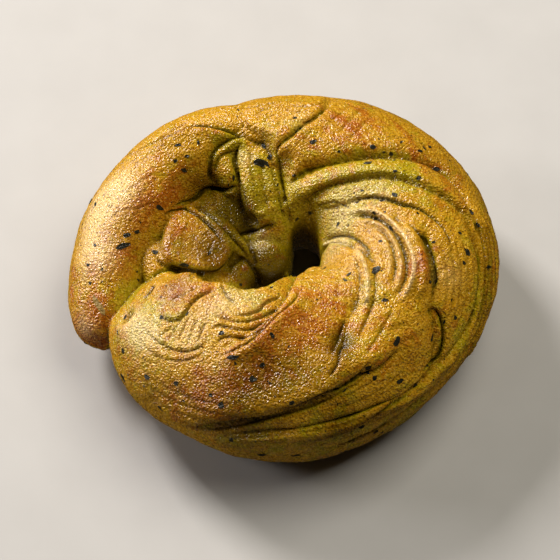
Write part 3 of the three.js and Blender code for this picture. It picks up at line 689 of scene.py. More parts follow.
def make_lump(middle, half_sizes, turn, tilt, squareness):
    polar, turns = np.meshgrid(np.linspace(0, np.pi, LUMP_RINGS + 1)[1:-1],
                               np.arange(LUMP_SIDES) * 2 * np.pi / LUMP_SIDES, indexing="ij")
    wide = squarer(np.sin(polar), squareness)
    ball = np.stack([
        wide * squarer(np.cos(turns), squareness / 2),
        wide * squarer(np.sin(turns), squareness / 2),
        squarer(np.cos(polar), squareness),
    ], -1)
    points = np.vstack([ball.reshape(-1, 3), (0, 0, 1), (0, 0, -1)]) * half_sizes
    cos, sin = cos_and_sin(tilt)
    points = points @ np.array([[cos, 0, -sin], [0, 1, 0], [sin, 0, cos]])
    cos, sin = cos_and_sin(turn)
    points = points @ np.array([[cos, sin, 0], [-sin, cos, 0], [0, 0, 1]]) + middle
    return points, tube_faces(LUMP_RINGS - 1, LUMP_SIDES)


def polar_stations(stations):
    """Stations given by an angle and a radius, as stations given by x and y."""
    placed = []
    for angle, radius, *rest in stations:
        cos, sin = cos_and_sin(angle)
        placed.append((radius * cos, radius * sin, *rest))
    return placed


def pieces_of_dough():
    yield make_ring()
    yield make_rope(polar_stations(TAIL), TAIL_SIDES)
    yield make_rope(STRAP, STRAP_SIDES, STRAP_SQUARENESS)
    yield make_rope(BAND, BAND_SIDES)
    for lump in LUMPS.values():
        yield make_lump(*lump)


# ---------------------------------------------------------------- Blender meshes

def new_object(name, points, faces):
    mesh = bpy.data.meshes.new(name)
    mesh.from_pydata(np.asarray(points).tolist(), [], faces)
    mesh.update()
    made = bpy.data.objects.new(name, mesh)
    bpy.context.scene.collection.objects.link(made)
    return made


def merged(pieces):
    """The points and the faces of several pieces, as those of one."""
    points, faces = [], []
    for own_points, own_faces in pieces:
        faces.extend([[corner + len(points) for corner in face] for face in own_faces])
        points.extend(own_points)
    return np.array(points), faces


def apply_modifiers(made):
    """The object's mesh with its modifiers applied; the object is removed."""
    evaluated = made.evaluated_get(bpy.context.evaluated_depsgraph_get())
    mesh = bpy.data.meshes.new_from_object(evaluated)
    bpy.data.objects.remove(made)
    return mesh


def mesh_arrays(mesh):
    """A mesh's points, its triangles and its edges."""
    points = np.empty(len(mesh.vertices) * 3)
    mesh.vertices.foreach_get("co", points)
    mesh.calc_loop_triangles()
    triangles = np.empty(len(mesh.loop_triangles) * 3, int)
    mesh.loop_triangles.foreach_get("vertices", triangles)
    edges = np.empty(len(mesh.edges) * 2, int)
    mesh.edges.foreach_get("vertices", edges)
    return points.reshape(-1, 3), triangles.reshape(-1, 3), edges.reshape(-1, 2)


class Skin:
    """The dough's surface: points in mm, triangles and edges."""

    def __init__(self, mesh):
        self.points, self.triangles, self.edges = mesh_arrays(mesh)
        self.count = len(self.points)
        self.neighbours = self.gathered(np.ones(self.count))

    def gathered(self, values):
        """The sum of the values over each point's neighbours."""
        first, second = self.edges.T
        from_second = np.bincount(first, values[second], self.count)
        from_first = np.bincount(second, values[first], self.count)
        return from_second + from_first

    def smoothed(self, values, rounds):
        """Values, or rows of them, averaged with their neighbours' mean again and again."""
        if values.ndim > 1:
            return np.stack([self.smoothed(column, rounds) for column in values.T], -1)
        for _ in range(rounds):
            values = (values + self.gathered(values) / self.neighbours) / 2
        return values

    def facets(self):
        """Each triangle's middle, and the way it faces, twice as long as its area."""
        a, b, c = (self.points[self.triangles[:, corner]] for corner in range(3))
        return (a + b + c) / 3, np.cross(b - a, c - a)

    def normals(self):
        _, facing = self.facets()
        summed = np.zeros((self.count, 3))
        for corner in range(3):
            for axis in range(3):
                summed[:, axis] += np.bincount(self.triangles[:, corner], facing[:, axis], self.count)
        return summed / (np.linalg.norm(summed, axis=1, keepdims=True) + 1e-12)

    def tree(self):
        return BVHTree.FromPolygons(self.points.tolist(), self.triangles.tolist())


def joined_skin(pieces):
    """All the pieces as one closed skin; pockets sealed between them are dropped."""
    dough = new_object("dough", *merged(pieces))
    cells = dough.modifiers.new("cells", "REMESH")
    cells.mode = "VOXEL"
    cells.voxel_size = VOXEL
    return Skin(largest_shell(apply_modifiers(dough)))


def largest_shell(mesh):
    points, triangles, edges = mesh_arrays(mesh)
    label = np.arange(len(points))
    while True:
        before = label.copy()
        lower = np.minimum(label[edges[:, 0]], label[edges[:, 1]])
        np.minimum.at(label, edges[:, 0], lower)
        np.minimum.at(label, edges[:, 1], lower)
        label = label[label]
        if (label == before).all():
            break
    names, sizes = np.unique(label, return_counts=True)
    kept = label == names[sizes.argmax()]
    number = np.cumsum(kept) - 1
    polygons = [polygon.vertices for polygon in mesh.polygons if kept[polygon.vertices[0]]]
    faces = [[int(number[corner]) for corner in corners] for corners in polygons]
    shell = bpy.data.meshes.new("shell")
    shell.from_pydata(points[kept].tolist(), [], faces)
    shell.update()
    bpy.data.meshes.remove(mesh)
    return shell


# ---------------------------------------------------------------- the camera's view

RISE = math.radians(VIEW_ELEVATION)
VIEW_RIGHT = np.array([1.0, 0.0, 0.0])
VIEW_UP = np.array([0.0, math.sin(RISE), math.cos(RISE)])
VIEW_BACK = np.array([0.0, -math.cos(RISE), math.sin(RISE)])
VIEW_CENTRE = (np.array([0.0, 0.0, RING_HEIGHT])
               + VIEW_RIGHT * (VIEW_PIXELS / 2 - RING_PIXEL[0]) / PIXELS_PER_MM
               - VIEW_UP * (VIEW_PIXELS / 2 - RING_PIXEL[1]) / PIXELS_PER_MM)
EYE = VIEW_CENTRE + VIEW_BACK * VIEW_DISTANCE


def to_view(points):
    """The pixels at which points are seen."""
    offset = points - EYE
    scale = VIEW_DISTANCE / -(offset @ VIEW_BACK) * PIXELS_PER_MM
    across = VIEW_PIXELS / 2 + offset @ VIEW_RIGHT * scale
    down = VIEW_PIXELS / 2 - offset @ VIEW_UP * scale
    return np.stack([across, down], -1)


def seen_at(pixel, tree):
    """The point of the skin that is seen at a pixel and the direction it faces, or None."""
    direction = (VIEW_RIGHT * (pixel[0] - VIEW_PIXELS / 2) / PIXELS_PER_MM
                 + VIEW_UP * (VIEW_PIXELS / 2 - pixel[1]) / PIXELS_PER_MM
                 - VIEW_BACK * VIEW_DISTANCE)
    point, facing, _, _ = tree.ray_cast(Vector(EYE), Vector(direction))
    return (np.array(point), np.array(facing)) if point else None


def lines_on_skin(pixels, tree):
    """Stretches of a line drawn in the view, as pairs of pixels and points on the skin."""
    stretches, line = [], []
    for pixel in smooth_curve(pixels, VIEW_LINE_STEPS):
        seen = seen_at(pixel, tree)
        if seen is None or (line and np.linalg.norm(seen[0] - line[-1][1]) > LONGEST_STEP):
            stretches.append(line)
            line = []
        if seen is not None:
            line.append((pixel, seen[0]))
    stretches.append(line)
    return [tuple(map(np.array, zip(*line))) for line in stretches if len(line) > 2]


def all_view_folds():
    yield from VIEW_FOLDS.values()
    for first, last, count, cut, width in VIEW_FAMILIES.values():
        swell = (FAMILY_SWELL[0] * cut, FAMILY_SWELL[1] * width)
        for index in range(count):
            share = index / (count - 1)
            line = np.array(first) * (1 - share) + np.array(last) * share
            yield line, cut, width, swell, swell


def fade_at_ends(share):
    return eased(np.minimum(share, 1 - share) / FADE_SHARE)


def patch_sum(skin, tree, patches):
    """The sum of round patches that are given by their pixel, radius, mm, and strength."""
    total = np.zeros(skin.count)
    for pixel, radius, strength in patches:
        seen = seen_at(pixel, tree)
        if seen:
            distance = np.linalg.norm(skin.points - seen[0], axis=1)
            total += strength * bell(distance, radius)
    return total


def view_relief(skin, tree):
    """The height of the folds that are drawn in the view."""
    seen = to_view(skin.points)
    raised = np.zeros(skin.count)
    for pixels, cut, width, left, right in all_view_folds():
        reach = fold_reach(width, left, right)
        for line_pixels, line in lines_on_skin(pixels, tree):
            near, distance, segment, place, share = nearest_on_line(skin.points, line, reach)
            step = (line_pixels[1:] - line_pixels[:-1])[segment]
            offset = seen[near] - line_pixels[segment] - place[:, None] * step
            on_left = offset[:, 0] * step[:, 1] - offset[:, 1] * step[:, 0] > 0
            raised[near] += fade_at_ends(share) * fold_relief(distance, on_left, cut, width, left, right)
    return raised - patch_sum(skin, tree, PITS.values())


# ---------------------------------------------------------------- grain

def cell_noise(places, seed):
    """Smooth noise from -1 to 1 at places, whose unit is a cell."""
    table = np.random.default_rng(seed).uniform(-1, 1, NOISE_VALUES)
    cell = np.floor(places).astype(np.int64)
    share = eased(places - cell)
    total = np.zeros(len(places))
    for corner in range(8):
        step = np.array([corner & 1, corner >> 1 & 1, corner >> 2 & 1])
        x, y, z = ((cell + step) * CELL_PRIMES).T
        weight = np.where(step, share, 1 - share).prod(-1)
        total += weight * table[(x ^ y ^ z) % NOISE_VALUES]
    return total


def layered_noise(places, layers, first_seed):
    """The sum of layers of noise, each given by its height and cell size."""
    total = np.zeros(len(places))
    for index, (height, size) in enumerate(layers):
        total += height * cell_noise(places / size, first_seed + index)
    return total


def flow_places(points):
    """Places for noise that is drawn out along the folds: across them in mm, and along them."""
    x, y = points[:, 0] - HOLE_MIDDLE[0], points[:, 1] - HOLE_MIDDLE[1]
    around = np.arctan2(y, x)
    around = np.where(around > math.radians(FLOW_SEAM), around - 2 * np.pi, around)
    inner, outer = outline_radii(around)
    over = np.arctan2(points[:, 2] - MIDDLE_HEIGHT, np.hypot(x, y) - (inner + outer) / 2)
    across = over + math.radians(TWIST) / (2 * np.pi) * around
    across_mm = np.stack([np.cos(across), np.sin(across)], -1) * FLOW_RADII[0]
    return np.column_stack([across_mm, around * FLOW_RADII[1]])


def grain_relief(skin):
    """Unevenness of the dough: soft lumps, streaks along its folds and small blisters."""
    lumps = layered_noise(skin.points, SOFT_LUMPS, LUMP_SEED)
    streaks = layered_noise(flow_places(skin.points), STREAKS, STREAK_SEED)
    blisters = layered_noise(skin.points, BLISTERS, BLISTER_SEED)
    outside_mouth = eased(-inside_hollow(skin.points, HOLLOWS["mouth"][0]) / MOUTH_FADE)
    return lumps + streaks * outside_mouth + blisters


# ---------------------------------------------------------------- browning, painted shade and painted highlights

# Patches that baked browner, and those that stayed green: the pixel, radius, mm, and strength
BROWN_PATCHES = [
    ((135, 225), 8, 0.8), ((118, 262), 7, 0.7), ((160, 195), 7, 0.6), ((105, 310), 9, 0.7),
    ((86, 332), 6, 0.7), ((100, 343), 4, 0.3), ((300, 325), 9, 0.9), ((262, 355), 9, 0.8),
    ((225, 385), 9, 0.7), ((335, 290), 7, 0.5), ((190, 400), 8, 0.5), ((417, 262), 4, 0.8),
    ((415, 285), 4, 0.4), ((330, 130), 9, 0.5), ((370, 125), 9, 0.6), ((430, 160), 8, 0.7),
    ((455, 190), 6, 0.6), ((400, 345), 9, 0.4), ((440, 270), 8, 0.4), ((200, 300), 5, 0.6),
    ((185, 285), 4, 0.5), ((172, 290), 5, 0.6), ((128, 372), 6, 0.3), ((190, 225), 5, 0.4),
]
GREEN_PATCHES = [
    ((380, 170), 8, 0.9), ((340, 175), 7, 0.9), ((300, 200), 6, 1.0), ((415, 185), 6, 0.7),
    ((250, 210), 8, 1.0), ((265, 265), 8, 1.0), ((230, 150), 6, 0.8), ((225, 215), 6, 0.6),
    ((335, 230), 6, 1.0), ((370, 290), 5, 0.7), ((240, 290), 6, 0.9), ((145, 320), 8, 0.8),
    ((135, 350), 8, 0.3), ((120, 300), 6, 0.7), ((345, 345), 4, 0.7), ((480, 300), 6, 0.7),
    ((460, 350), 6, 0.6), ((400, 420), 8, 0.7), ((330, 440), 9, 0.7), ((250, 440), 9, 0.6),
    ((350, 205), 5, 0.6), ((265, 175), 5, 0.8), ((262, 240), 5, 0.8),
]
# Patches of painted highlight, a pale sheen where the lights glance off the crust: the pixel, radius, mm,
# and strength
PAINTED_HIGHLIGHT_PATCHES = [
    ((95, 255), 6, 0.7), ((92, 225), 6, 0.6), ((105, 200), 6, 0.7), ((120, 185), 6, 0.6),
    ((190, 335), 5, 0.5), ((145, 335), 5, 0.8), ((250, 300), 5, 0.4), ((340, 225), 5, 0.6),
    ((380, 192), 4, 0.4), ((350, 196), 4, 0.4), ((244, 158), 2.5, 0.5), ((84, 328), 4, 0.6),
    ((295, 118), 4, 0.3), ((130, 320), 5, 0.6), ((210, 310), 4, 0.4), ((330, 255), 5, 0.4),
    ((225, 300), 4, 0.4), ((262, 240), 3, 0.5), ((450, 275), 5, 0.3),
]
# Patches of painted shade, in places also a darker bake: the pixel, radius, mm, and strength
PAINTED_SHADE_PATCHES = [
    ((340, 425), 6, 0.6), ((385, 410), 6, 0.4), ((440, 165), 7, 0.4), ((340, 345), 4, 0.6),
    ((218, 262), 4, 0.5), ((140, 265), 4, 0.3), ((435, 345), 5, 0.3), ((232, 205), 3, 0.4),
    ((200, 245), 8, 0.45), ((168, 246), 5, 0.3), ((132, 232), 6, 0.3), ((375, 226), 4, 0.3),
    ((215, 255), 5, 0.2), ((270, 266), 5.5, 1.3), ((190, 185), 5, 0.4), ((340, 340), 4, 0.4),
    ((258, 280), 6, 0.8), ((230, 224), 6, 1.0), ((243, 275), 4, 0.7), ((280, 370), 10, 0.5),
    ((235, 395), 10, 0.5), ((175, 400), 9, 0.35), ((330, 385), 9, 0.3), ((250, 215), 4, 0.6),
    ((205, 195), 5, 0.4), ((225, 262), 4, 0.5), ((175, 288), 6, 0.5), ((300, 235), 6, 0.8),
    ((262, 195), 5, 0.3), ((210, 178), 5, 0.4), ((240, 440), 9, 0.3),
]


def along_fold(skin, tree, pixels, reach):
    """For each stretch of a fold's line: the points near it, and values that are 1 on the line and
    fade away from it."""
    for _, line in lines_on_skin(pixels, tree):
        near, distance, _, _, share = nearest_on_line(skin.points, line, SWELL_SPAN * reach)
        yield near, fade_at_ends(share) * bell(distance, reach)


def painted_crease_shade(skin, tree):
    """Painted shade in the creases that are drawn in the view: the deeper the crease, the stronger the
    shade.
    """
    shade_in_creases = np.zeros(skin.count)
    for pixels, cut, width, *_ in all_view_folds():
        if width > WIDEST_CREASE:
            continue
        shade_strength = min(DARKEST_PAINTED_CREASE_SHADE, PAINTED_CREASE_SHADE_PER_MM * cut)
        for near, nearness in along_fold(skin, tree, pixels, max(SMALLEST_REACH, CREASE_REACH * width)):
            shade_in_creases[near] = np.maximum(shade_in_creases[near], shade_strength * nearness)
    return shade_in_creases


# Painted highlight along the bright ridges
def painted_highlight_on_ridges(skin, tree):
    highlight_share = np.zeros(skin.count)
    for name, (reach, strength) in PAINTED_HIGHLIGHT_RIDGES.items():
        for near, nearness in along_fold(skin, tree, VIEW_FOLDS[name][0], reach):
            highlight_share[near] = np.maximum(highlight_share[near], strength * nearness)
    return highlight_share


def open_sky(skin, tree):
    """The share of the sky that each point sees."""
    rng = np.random.default_rng(SKY_SEED)
    facing = skin.normals()
    seen = np.zeros(skin.count)
    directions = rng.normal(size=(skin.count, SKY_RAYS, 3))
    directions /= np.linalg.norm(directions, axis=-1, keepdims=True)
    directions += facing[:, None] * SKY_LEAN
    starts = skin.points + facing * SKY_LIFT
    for index in range(skin.count):
        start = Vector(starts[index])
        for direction in directions[index]:
            if tree.ray_cast(start, Vector(direction), SKY_REACH)[0] is None:
                seen[index] += 1
    return skin.smoothed(seen / SKY_RAYS, SKY_SMOOTHING)


def thinned(skin):
    """The skin with fewer triangles, dropped where it is smoothest."""
    dough = new_object("dough", skin.points, skin.triangles.tolist())
    fewer = dough.modifiers.new("fewer", "DECIMATE")
    fewer.ratio = min(1.0, MOST_TRIANGLES / len(skin.triangles))
    return apply_modifiers(dough)


def add_values(mesh, name, values):
    layer = mesh.attributes.new(name, "FLOAT", "POINT")
    layer.data.foreach_set("value", values.astype(np.float32))


def ridge_values(skin):
    """How far each point stands out of the skin's smoothed level, mm."""
    level = skin.smoothed(skin.points, LEVEL_SMOOTHING)
    ridge = np.einsum("ij,ij->i", skin.points - level, skin.normals())
    return skin.smoothed(ridge, RIDGE_SMOOTHING)


def make_crust():
    """The crust as an object, with its skin and the skin's search tree."""
    dough = joined_skin(pieces_of_dough())
    dough.points = dough.smoothed(dough.points, JOINT_SMOOTHING)
    relief = view_relief(dough, dough.tree()) + grain_relief(dough)
    dough.points = dough.points + dough.normals() * relief[:, None]
    dough.points[:, 2] = np.maximum(dough.points[:, 2], 0)
    mesh = thinned(dough)
    skin = Skin(mesh)
    tree = skin.tree()
    add_values(mesh, "ridge", ridge_values(skin))
    add_values(mesh, "sky", open_sky(skin, tree))
    add_values(mesh, "brown", patch_sum(skin, tree, BROWN_PATCHES))
    add_values(mesh, "green", patch_sum(skin, tree, GREEN_PATCHES))
    # pale: painted highlight, in patches and along bright ridges
    add_values(mesh, "pale", patch_sum(skin, tree, PAINTED_HIGHLIGHT_PATCHES) + painted_highlight_on_ridges(skin, tree))
    # crease: painted shade in the creases
    add_values(mesh, "crease", painted_crease_shade(skin, tree))
    # dark: painted shade in patches, in places a darker bake too
    add_values(mesh, "dark", patch_sum(skin, tree, PAINTED_SHADE_PATCHES))
    streaks = layered_noise(flow_places(skin.points), BROWN_STREAKS, BROWN_STREAK_SEED)
    add_values(mesh, "streak", streaks)
    mesh.vertices.foreach_set("co", ((skin.points + RING_MIDDLE) * METRES).ravel())
    mesh.polygons.foreach_set("use_smooth", [True] * len(mesh.polygons))
    mesh.update()
    made = bpy.data.objects.new("bagel_crust", mesh)
    bpy.context.scene.collection.objects.link(made)
    return made, skin, tree


# ---------------------------------------------------------------- leaf flakes

def flake_axes(facing):
    """Two directions along the skin: to the right in the view, and across that."""
    sideways = Vector(VIEW_RIGHT) - facing * facing.dot(Vector(VIEW_RIGHT))
    if sideways.length < SHORTEST_AXIS:
        sideways = facing.orthogonal()
    sideways.normalize()
    return sideways, facing.cross(sideways)


def flake_faces(corners):
    """Faces of a flake: two rings of corners round a middle point, above and again below."""
    half = 1 + 2 * corners
    faces = []
    for index in range(corners):
        inner, inner_after = 1 + index, 1 + (index + 1) % corners
        outer, outer_after = inner + corners, inner_after + corners
        faces.append([0, inner, inner_after])
        faces.append([inner, outer, outer_after, inner_after])
        faces.append([half, half + inner_after, half + inner])
        faces.append([half + inner, half + inner_after, half + outer_after, half + outer])
        faces.append([outer, half + outer, half + outer_after, outer_after])
    return faces


def make_flake(tree, middle, facing, length, width, turn, rng, lift=FLAKE_LIFT):
    """A thin flake of leaf with a ragged outline, draped on the skin."""
    sideways, upward = flake_axes(Vector(facing))
    corners = LARGE_FLAKE_CORNERS if length > LARGE_FLAKE else SMALL_FLAKE_CORNERS
    above, below = [], []
    for ring in FLAKE_RINGS:
        for index in range(corners if ring else 1):
            angle = 2 * math.pi * (index + rng.uniform(-UNEVENNESS, UNEVENNESS)) / corners
            ragged = ring * rng.uniform(1 - UNEVENNESS, 1 + UNEVENNESS)
            blunt = SIDE_WIDTH if abs(math.cos(angle)) < NEAR_THE_END else END_WIDTH
            x = length / 2 * ragged * math.cos(angle)
            y = width / 2 * ragged * math.sin(angle) * blunt
            along = x * math.cos(turn) - y * math.sin(turn)
            across = x * math.sin(turn) + y * math.cos(turn)
            beside = Vector(middle) + sideways * along + upward * across
            spot, spot_facing, _, _ = tree.find_nearest(beside)
            raised = lift * rng.uniform(LEAST_LIFT, 1.0 + ring)
            above.append(np.array(spot + spot_facing * raised))
            below.append(np.array(spot + spot_facing * (raised - FLAKE_THICKNESS)))
    return above + below, flake_faces(corners)


def random_spots(skin, count, rng):
    """Spots all over the skin, each with the direction it faces, evenly spread by area."""
    middles, facing = skin.facets()
    areas = np.linalg.norm(facing, axis=1)
    chosen = rng.choice(len(areas), count, p=areas / areas.sum())
    return zip(middles[chosen], facing[chosen] / areas[chosen][:, None])


def flake_object(name, flakes):
    """Flakes, each its points and faces, as one object."""
    points, faces = merged(flakes)
    return new_object(name, (points + RING_MIDDLE) * METRES, faces)


def seen_flakes(tree, flakes, rng):
    for pixel, length, width, turn in flakes:
        seen = seen_at(pixel, tree)
        if seen:
            yield make_flake(tree, *seen, length, width, math.radians(turn), rng)


def small_flakes(skin, tree, rng):
    smallest, largest = SMALL_FLAKE_SIZES
    for middle, facing in random_spots(skin, SMALL_FLAKES, rng):
        length = smallest + (largest - smallest) * rng.random() ** SMALL_FLAKE_RARITY
        width = length * rng.uniform(*SMALL_FLAKE_WIDTHS)
        turn = rng.uniform(0, math.pi)
        flake = make_flake(tree, middle, facing, length, width, turn, rng, SMALL_FLAKE_LIFT)
        if facing[2] > LOWEST_FACING:
            yield flake


def make_flakes(skin, tree):
    rng = np.random.default_rng(FLAKE_SEED)
    leaves = [*seen_flakes(tree, LEAF_FLAKES, rng), *small_flakes(skin, tree, rng)]
    dark = flake_object("leaf_flakes", leaves)
    dark.data.materials.append(make_leaf_material("leaf", LEAF_SHADES))
    pale = flake_object("pale_flakes", seen_flakes(tree, PALE_FLAKES, rng))
    pale.data.materials.append(make_leaf_material("pale leaf", PALE_LEAF_SHADES))
    return dark, pale


# ---------------------------------------------------------------- materials

def node_tools(name):
    """A new material, its shader and two helpers, which add a node and link one to the shader."""
    material = bpy.data.materials.new(name)
    material.use_nodes = True
    tree = material.node_tree
    shader = tree.nodes["Principled BSDF"]

    def add(kind, inputs=None, **settings):
        made = tree.nodes.new(kind)
        for key, value in settings.items():
            setattr(made, key, value)
        for key, value in (inputs or {}).items():
            if isinstance(value, bpy.types.NodeSocket):
                tree.links.new(value, made.inputs[key])
            else:
                made.inputs[key].default_value = value
        return made

    def link(output, socket):
        tree.links.new(output, shader.inputs[socket])

    return material, shader, add, link


def add_noise(add, scale, detail, roughness=0.5):
    """Noise given by its cells to the metre, the times that it is refined, and how strongly."""
    places = add("ShaderNodeTexCoord").outputs["Object"]
    inputs = {"Vector": places, "Scale": scale, "Detail": detail, "Roughness": roughness}
    return add("ShaderNodeTexNoise", inputs).outputs["Fac"]


def add_ramp(add, share, shades):
    ramp = add("ShaderNodeValToRGB", {"Fac": share})
    for element, shade in zip(ramp.color_ramp.elements, shades):
        element.color = shade
    return ramp.outputs["Color"]


def srgb(red, green, blue):
    """A colour as seen on a screen, 0 to 255, as Blender's linear one."""
    def linear(value):
        value /= 255
        return value / 12.92 if value <= 0.04045 else ((value + 0.055) / 1.055) ** 2.4
    return (linear(red), linear(green), linear(blue), 1.0)


OLIVE = srgb(148, 130, 10)
# Deep olive: partly the unbaked dough in the folds, partly painted shade in them
DEEP_OLIVE_AND_PAINTED_SHADE = srgb(84, 68, 0)
GOLDEN = srgb(172, 125, 16)
BROWN = srgb(152, 82, 8)
DEEP_BROWN = srgb(104, 52, 3)
# Pale tan of the blisters, which also stands in for painted glints on them
TAN_AND_PAINTED_GLINTS = srgb(228, 186, 70)
# Pale cream of the painted highlight
PAINTED_HIGHLIGHT_TONE = srgb(230, 206, 152)
# Painted shade: what a colour is multiplied by where the painted shade is full
PAINTED_SHADE_TINT = (0.3, 0.26, 0.04, 1.0)  # of the colour that it darkens
LEAF_SHADES = (srgb(7, 8, 7), srgb(50, 48, 36))
PALE_LEAF_SHADES = (srgb(84, 64, 20), srgb(176, 146, 84))
LEAF_ROUGHNESS = 0.35
LEAF_SPECULAR = 0.3
LEAF_BUMP_HEIGHT = 0.0004           # metres
VEINS = (1800.0, 2.0)               # as in NOISES

# Noise in the crust: cells to the metre, times that it is refined, and how strongly
NOISES = {
    "patches": (160.0, 3.0, 0.5),
    "mottles": (420.0, 2.0, 0.5),
    "speckle": (1700.0, 2.0, 0.6),
    "pores": (1700.0, 1.0, 0.5),
    "gloss": (700.0, 2.0, 0.5),
    "grit": (2300.0, 1.5, 0.5),
}
PEBBLES_PER_METRE = 1900.0

# How a shade or a height follows a noise or what was measured on the skin: the two values that it
# goes from, and the two that it goes to
FITS = {
    "dry where the sky is open": (0.25, 0.65, 0.25, 1.0),
    "green by patches": (0.35, 0.65, -0.25, 0.35),
    "green out of the sky": (0.3, 0.9, 0.9, 0.0),
    "green by mottles": (0.35, 0.65, -0.2, 0.22),
    "olive": (0.0, 1.0, 0.0, 1.0),
    "brown by patches": (0.4, 0.7, -0.2, 0.3),
    "brown on ridges": (0.0, 0.8, 0.0, 0.3),
    "brown by streaks": (-0.6, 0.8, -0.25, 0.3),
    "brown by mottles": (0.35, 0.65, 0.2, -0.15),
    "brown": (0.1, 1.1, 0.0, 1.0),
    "deep brown": (0.9, 1.9, 0.0, 0.7),
    "deep olive and painted shade in folds": (-0.04, -0.45, 0.0, 0.85),
    "deep olive and painted shade out of the sky": (0.45, 0.1, 0.0, 0.8),
    # pale: how strongly the painted highlight is mixed in
    "pale": (0.0, 1.0, 0.0, 0.5),
    # speckle: pale blisters, and painted glints on them
    "speckle": (0.5, 0.7, 0.0, 0.45),
    "dark pores": (0.45, 0.28, 0.0, 0.7),
    "painted_shade": (0.0, 1.0, 0.0, 1.0),
    "roughness": (0.3, 0.7, 0.18, 0.34),
    "pebbles": (0.0, 0.8, 0.8, 0.0),
}
CRUST_SPECULAR = 0.6
BUMP_HEIGHT = 0.00027               # metres

# Sockets of Blender's mix node that hold colours
MIX_SHARE, MIX_FIRST, MIX_SECOND, MIX_RESULT = 0, 6, 7, 2


def make_crust_material():
    material, shader, add, link = node_tools("crust")
    places = add("ShaderNodeTexCoord").outputs["Object"]

    def measured(name):
        return add("ShaderNodeAttribute", attribute_name=name).outputs["Fac"]

    def noise(name):
        return add_noise(add, *NOISES[name])

    def math_node(operation, first, second):
        return add("ShaderNodeMath", {0: first, 1: second}, operation=operation).outputs[0]

    def summed(first, *others):
        for other in others:
            first = math_node("ADD", first, other)
        return first

    def fitted(source, name):
        low, high, to_low, to_high = FITS[name]
        inputs = {"Value": source, "From Min": low, "From Max": high, "To Min": to_low, "To Max": to_high}
        return add("ShaderNodeMapRange", inputs, interpolation_type="SMOOTHSTEP").outputs["Result"]

    def mixed(share, first, second, blend="MIX"):
        inputs = {MIX_SHARE: share, MIX_FIRST: first, MIX_SECOND: second}
        return add("ShaderNodeMix", inputs, data_type="RGBA", blend_type=blend).outputs[MIX_RESULT]

    sky = measured("sky")
    ridge = measured("ridge")
    patches = noise("patches")
    mottles = noise("mottles")
    baked_dry = fitted(sky, "dry where the sky is open")
    greener = summed(measured("green"), fitted(patches, "green by patches"),
                     fitted(sky, "green out of the sky"), fitted(mottles, "green by mottles"))
    browner = summed(measured("brown"), fitted(patches, "brown by patches"),
                     fitted(ridge, "brown on ridges"), fitted(measured("streak"), "brown by streaks"),
                     fitted(mottles, "brown by mottles"))
    colour = mixed(fitted(greener, "olive"), GOLDEN, OLIVE)
    colour = mixed(fitted(browner, "brown"), colour, BROWN)
    colour = mixed(fitted(browner, "deep brown"), colour, DEEP_BROWN)
    # Deep olive in the folds and where little sky is seen: partly unbaked dough, partly painted shade
    colour = mixed(fitted(ridge, "deep olive and painted shade in folds"), colour, DEEP_OLIVE_AND_PAINTED_SHADE)
    colour = mixed(fitted(sky, "deep olive and painted shade out of the sky"), colour, DEEP_OLIVE_AND_PAINTED_SHADE)
    # Painted highlight: a pale sheen mixed into the colour
    colour = mixed(fitted(measured("pale"), "pale"), colour, PAINTED_HIGHLIGHT_TONE)
    # Speckles of pale blisters, which also stand in for painted glints, on dough that baked dry
    speckle = fitted(noise("speckle"), "speckle")
    colour = mixed(math_node("MULTIPLY", speckle, baked_dry), colour, TAN_AND_PAINTED_GLINTS)
    dark_pores = fitted(noise("pores"), "dark pores")
    colour = mixed(math_node("MULTIPLY", dark_pores, baked_dry), colour, DEEP_BROWN)
    # Painted shade from the patches and from the creases darkens the colour
    painted_shade = fitted(summed(measured("dark"), measured("crease")), "painted_shade")
    link(mixed(painted_shade, colour, PAINTED_SHADE_TINT, "MULTIPLY"), "Base Color")
    link(fitted(noise("gloss"), "roughness"), "Roughness")
    pebbles = add("ShaderNodeTexVoronoi", {"Vector": places, "Scale": PEBBLES_PER_METRE},
                  feature="SMOOTH_F1")
    height = summed(fitted(pebbles.outputs["Distance"], "pebbles"), noise("grit"))
    bump = add("ShaderNodeBump", {"Height": height, "Strength": baked_dry, "Distance": BUMP_HEIGHT})
    link(bump.outputs["Normal"], "Normal")
    shader.inputs["Specular IOR Level"].default_value = CRUST_SPECULAR
    return material


def make_leaf_material(name, shades):
    material, shader, add, link = node_tools(name)
    veins = add_noise(add, *VEINS)
    link(add_ramp(add, veins, shades), "Base Color")
    bump = add("ShaderNodeBump", {"Height": veins, "Strength": 1.0, "Distance": LEAF_BUMP_HEIGHT})
    link(bump.outputs["Normal"], "Normal")
    shader.inputs["Roughness"].default_value = LEAF_ROUGHNESS
    shader.inputs["Specular IOR Level"].default_value = LEAF_SPECULAR
    return material


# ---------------------------------------------------------------- the studio

FLOOR_HALF = 3.0                    # half its size, metres
FLOOR_SHADES = ((0.38, 0.37, 0.355, 1), (0.43, 0.42, 0.405, 1))
FLOOR_GRAIN = (60.0, 4.0)           # as in NOISES
FLOOR_ROUGHNESS = 0.8
LIT_POINT = (0, 0, 0.02)            # where the lights aim, metres
WORLD_COLOUR = (1.0, 0.92, 0.78, 1)
WORLD_STRENGTH = 0.01

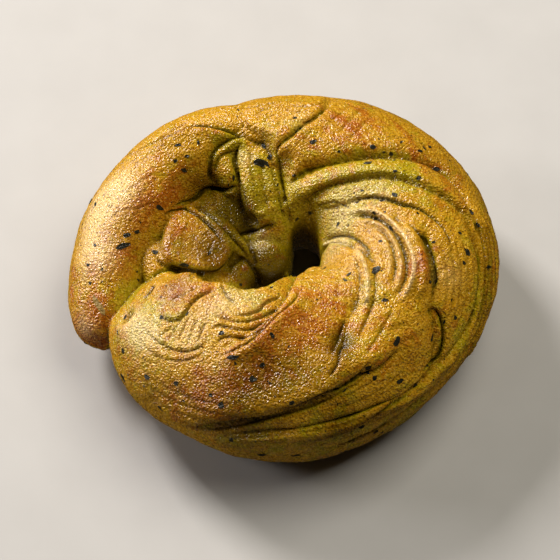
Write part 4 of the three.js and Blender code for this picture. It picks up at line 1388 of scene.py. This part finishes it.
# Square lights: the place and size, metres, power, W, colour and whether the bagel mirrors it; one
# that it doesn't mirror gives no highlights
LIGHTS = {
    "key": ((-0.62, 0.7, 0.72), 0.34, 19.8, (1.0, 0.95, 0.92), True),
    "window": ((-1.08, 0.2, 0.34), 0.3, 7.0, (1.0, 0.95, 0.93), True),
    "overhead": ((0.45, 0.3, 1.1), 0.8, 14.0, (1.0, 0.95, 0.84), False),
}


def make_floor():
    corners = [(x * FLOOR_HALF, y * FLOOR_HALF, 0) for x, y in ((-1, -1), (1, -1), (1, 1), (-1, 1))]
    floor = new_object("floor", corners, [[0, 1, 2, 3]])
    material, shader, add, link = node_tools("floor")
    grain = add_noise(add, *FLOOR_GRAIN)
    link(add_ramp(add, grain, FLOOR_SHADES), "Base Color")
    shader.inputs["Roughness"].default_value = FLOOR_ROUGHNESS
    floor.data.materials.append(material)
    floor.visible_glossy = False


def aim(made, place, target):
    made.location = place
    made.rotation_euler = (Vector(target) - Vector(place)).to_track_quat("-Z", "Y").to_euler()


def add_light(name, place, size, power, colour, mirrored):
    lamp = bpy.data.lights.new(name, "AREA")
    lamp.size = size
    lamp.energy = power
    lamp.color = colour
    made = bpy.data.objects.new(name, lamp)
    made.visible_glossy = mirrored
    bpy.context.scene.collection.objects.link(made)
    aim(made, place, LIT_POINT)


def make_lights():
    world = bpy.data.worlds.new("studio")
    world.use_nodes = True
    background = world.node_tree.nodes["Background"]
    background.inputs["Color"].default_value = WORLD_COLOUR
    background.inputs["Strength"].default_value = WORLD_STRENGTH
    bpy.context.scene.world = world
    for name, light in LIGHTS.items():
        add_light(name, *light)
    bpy.context.scene.view_settings.view_transform = "Standard"


def make_camera():
    data = bpy.data.cameras.new("camera")
    data.sensor_width = SENSOR_WIDTH
    data.lens = SENSOR_WIDTH * PIXELS_PER_MM * VIEW_DISTANCE / VIEW_PIXELS
    camera = bpy.data.objects.new("camera", data)
    bpy.context.scene.collection.objects.link(camera)
    aim(camera, Vector((EYE + RING_MIDDLE) * METRES), (VIEW_CENTRE + RING_MIDDLE) * METRES)
    bpy.context.scene.camera = camera


make_camera()
crust, skin, skin_tree = make_crust()
crust.data.materials.append(make_crust_material())
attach(crust, "root")
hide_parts("bagel")
for flakes in make_flakes(skin, skin_tree):
    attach(flakes, "root")
make_floor()
make_lights()
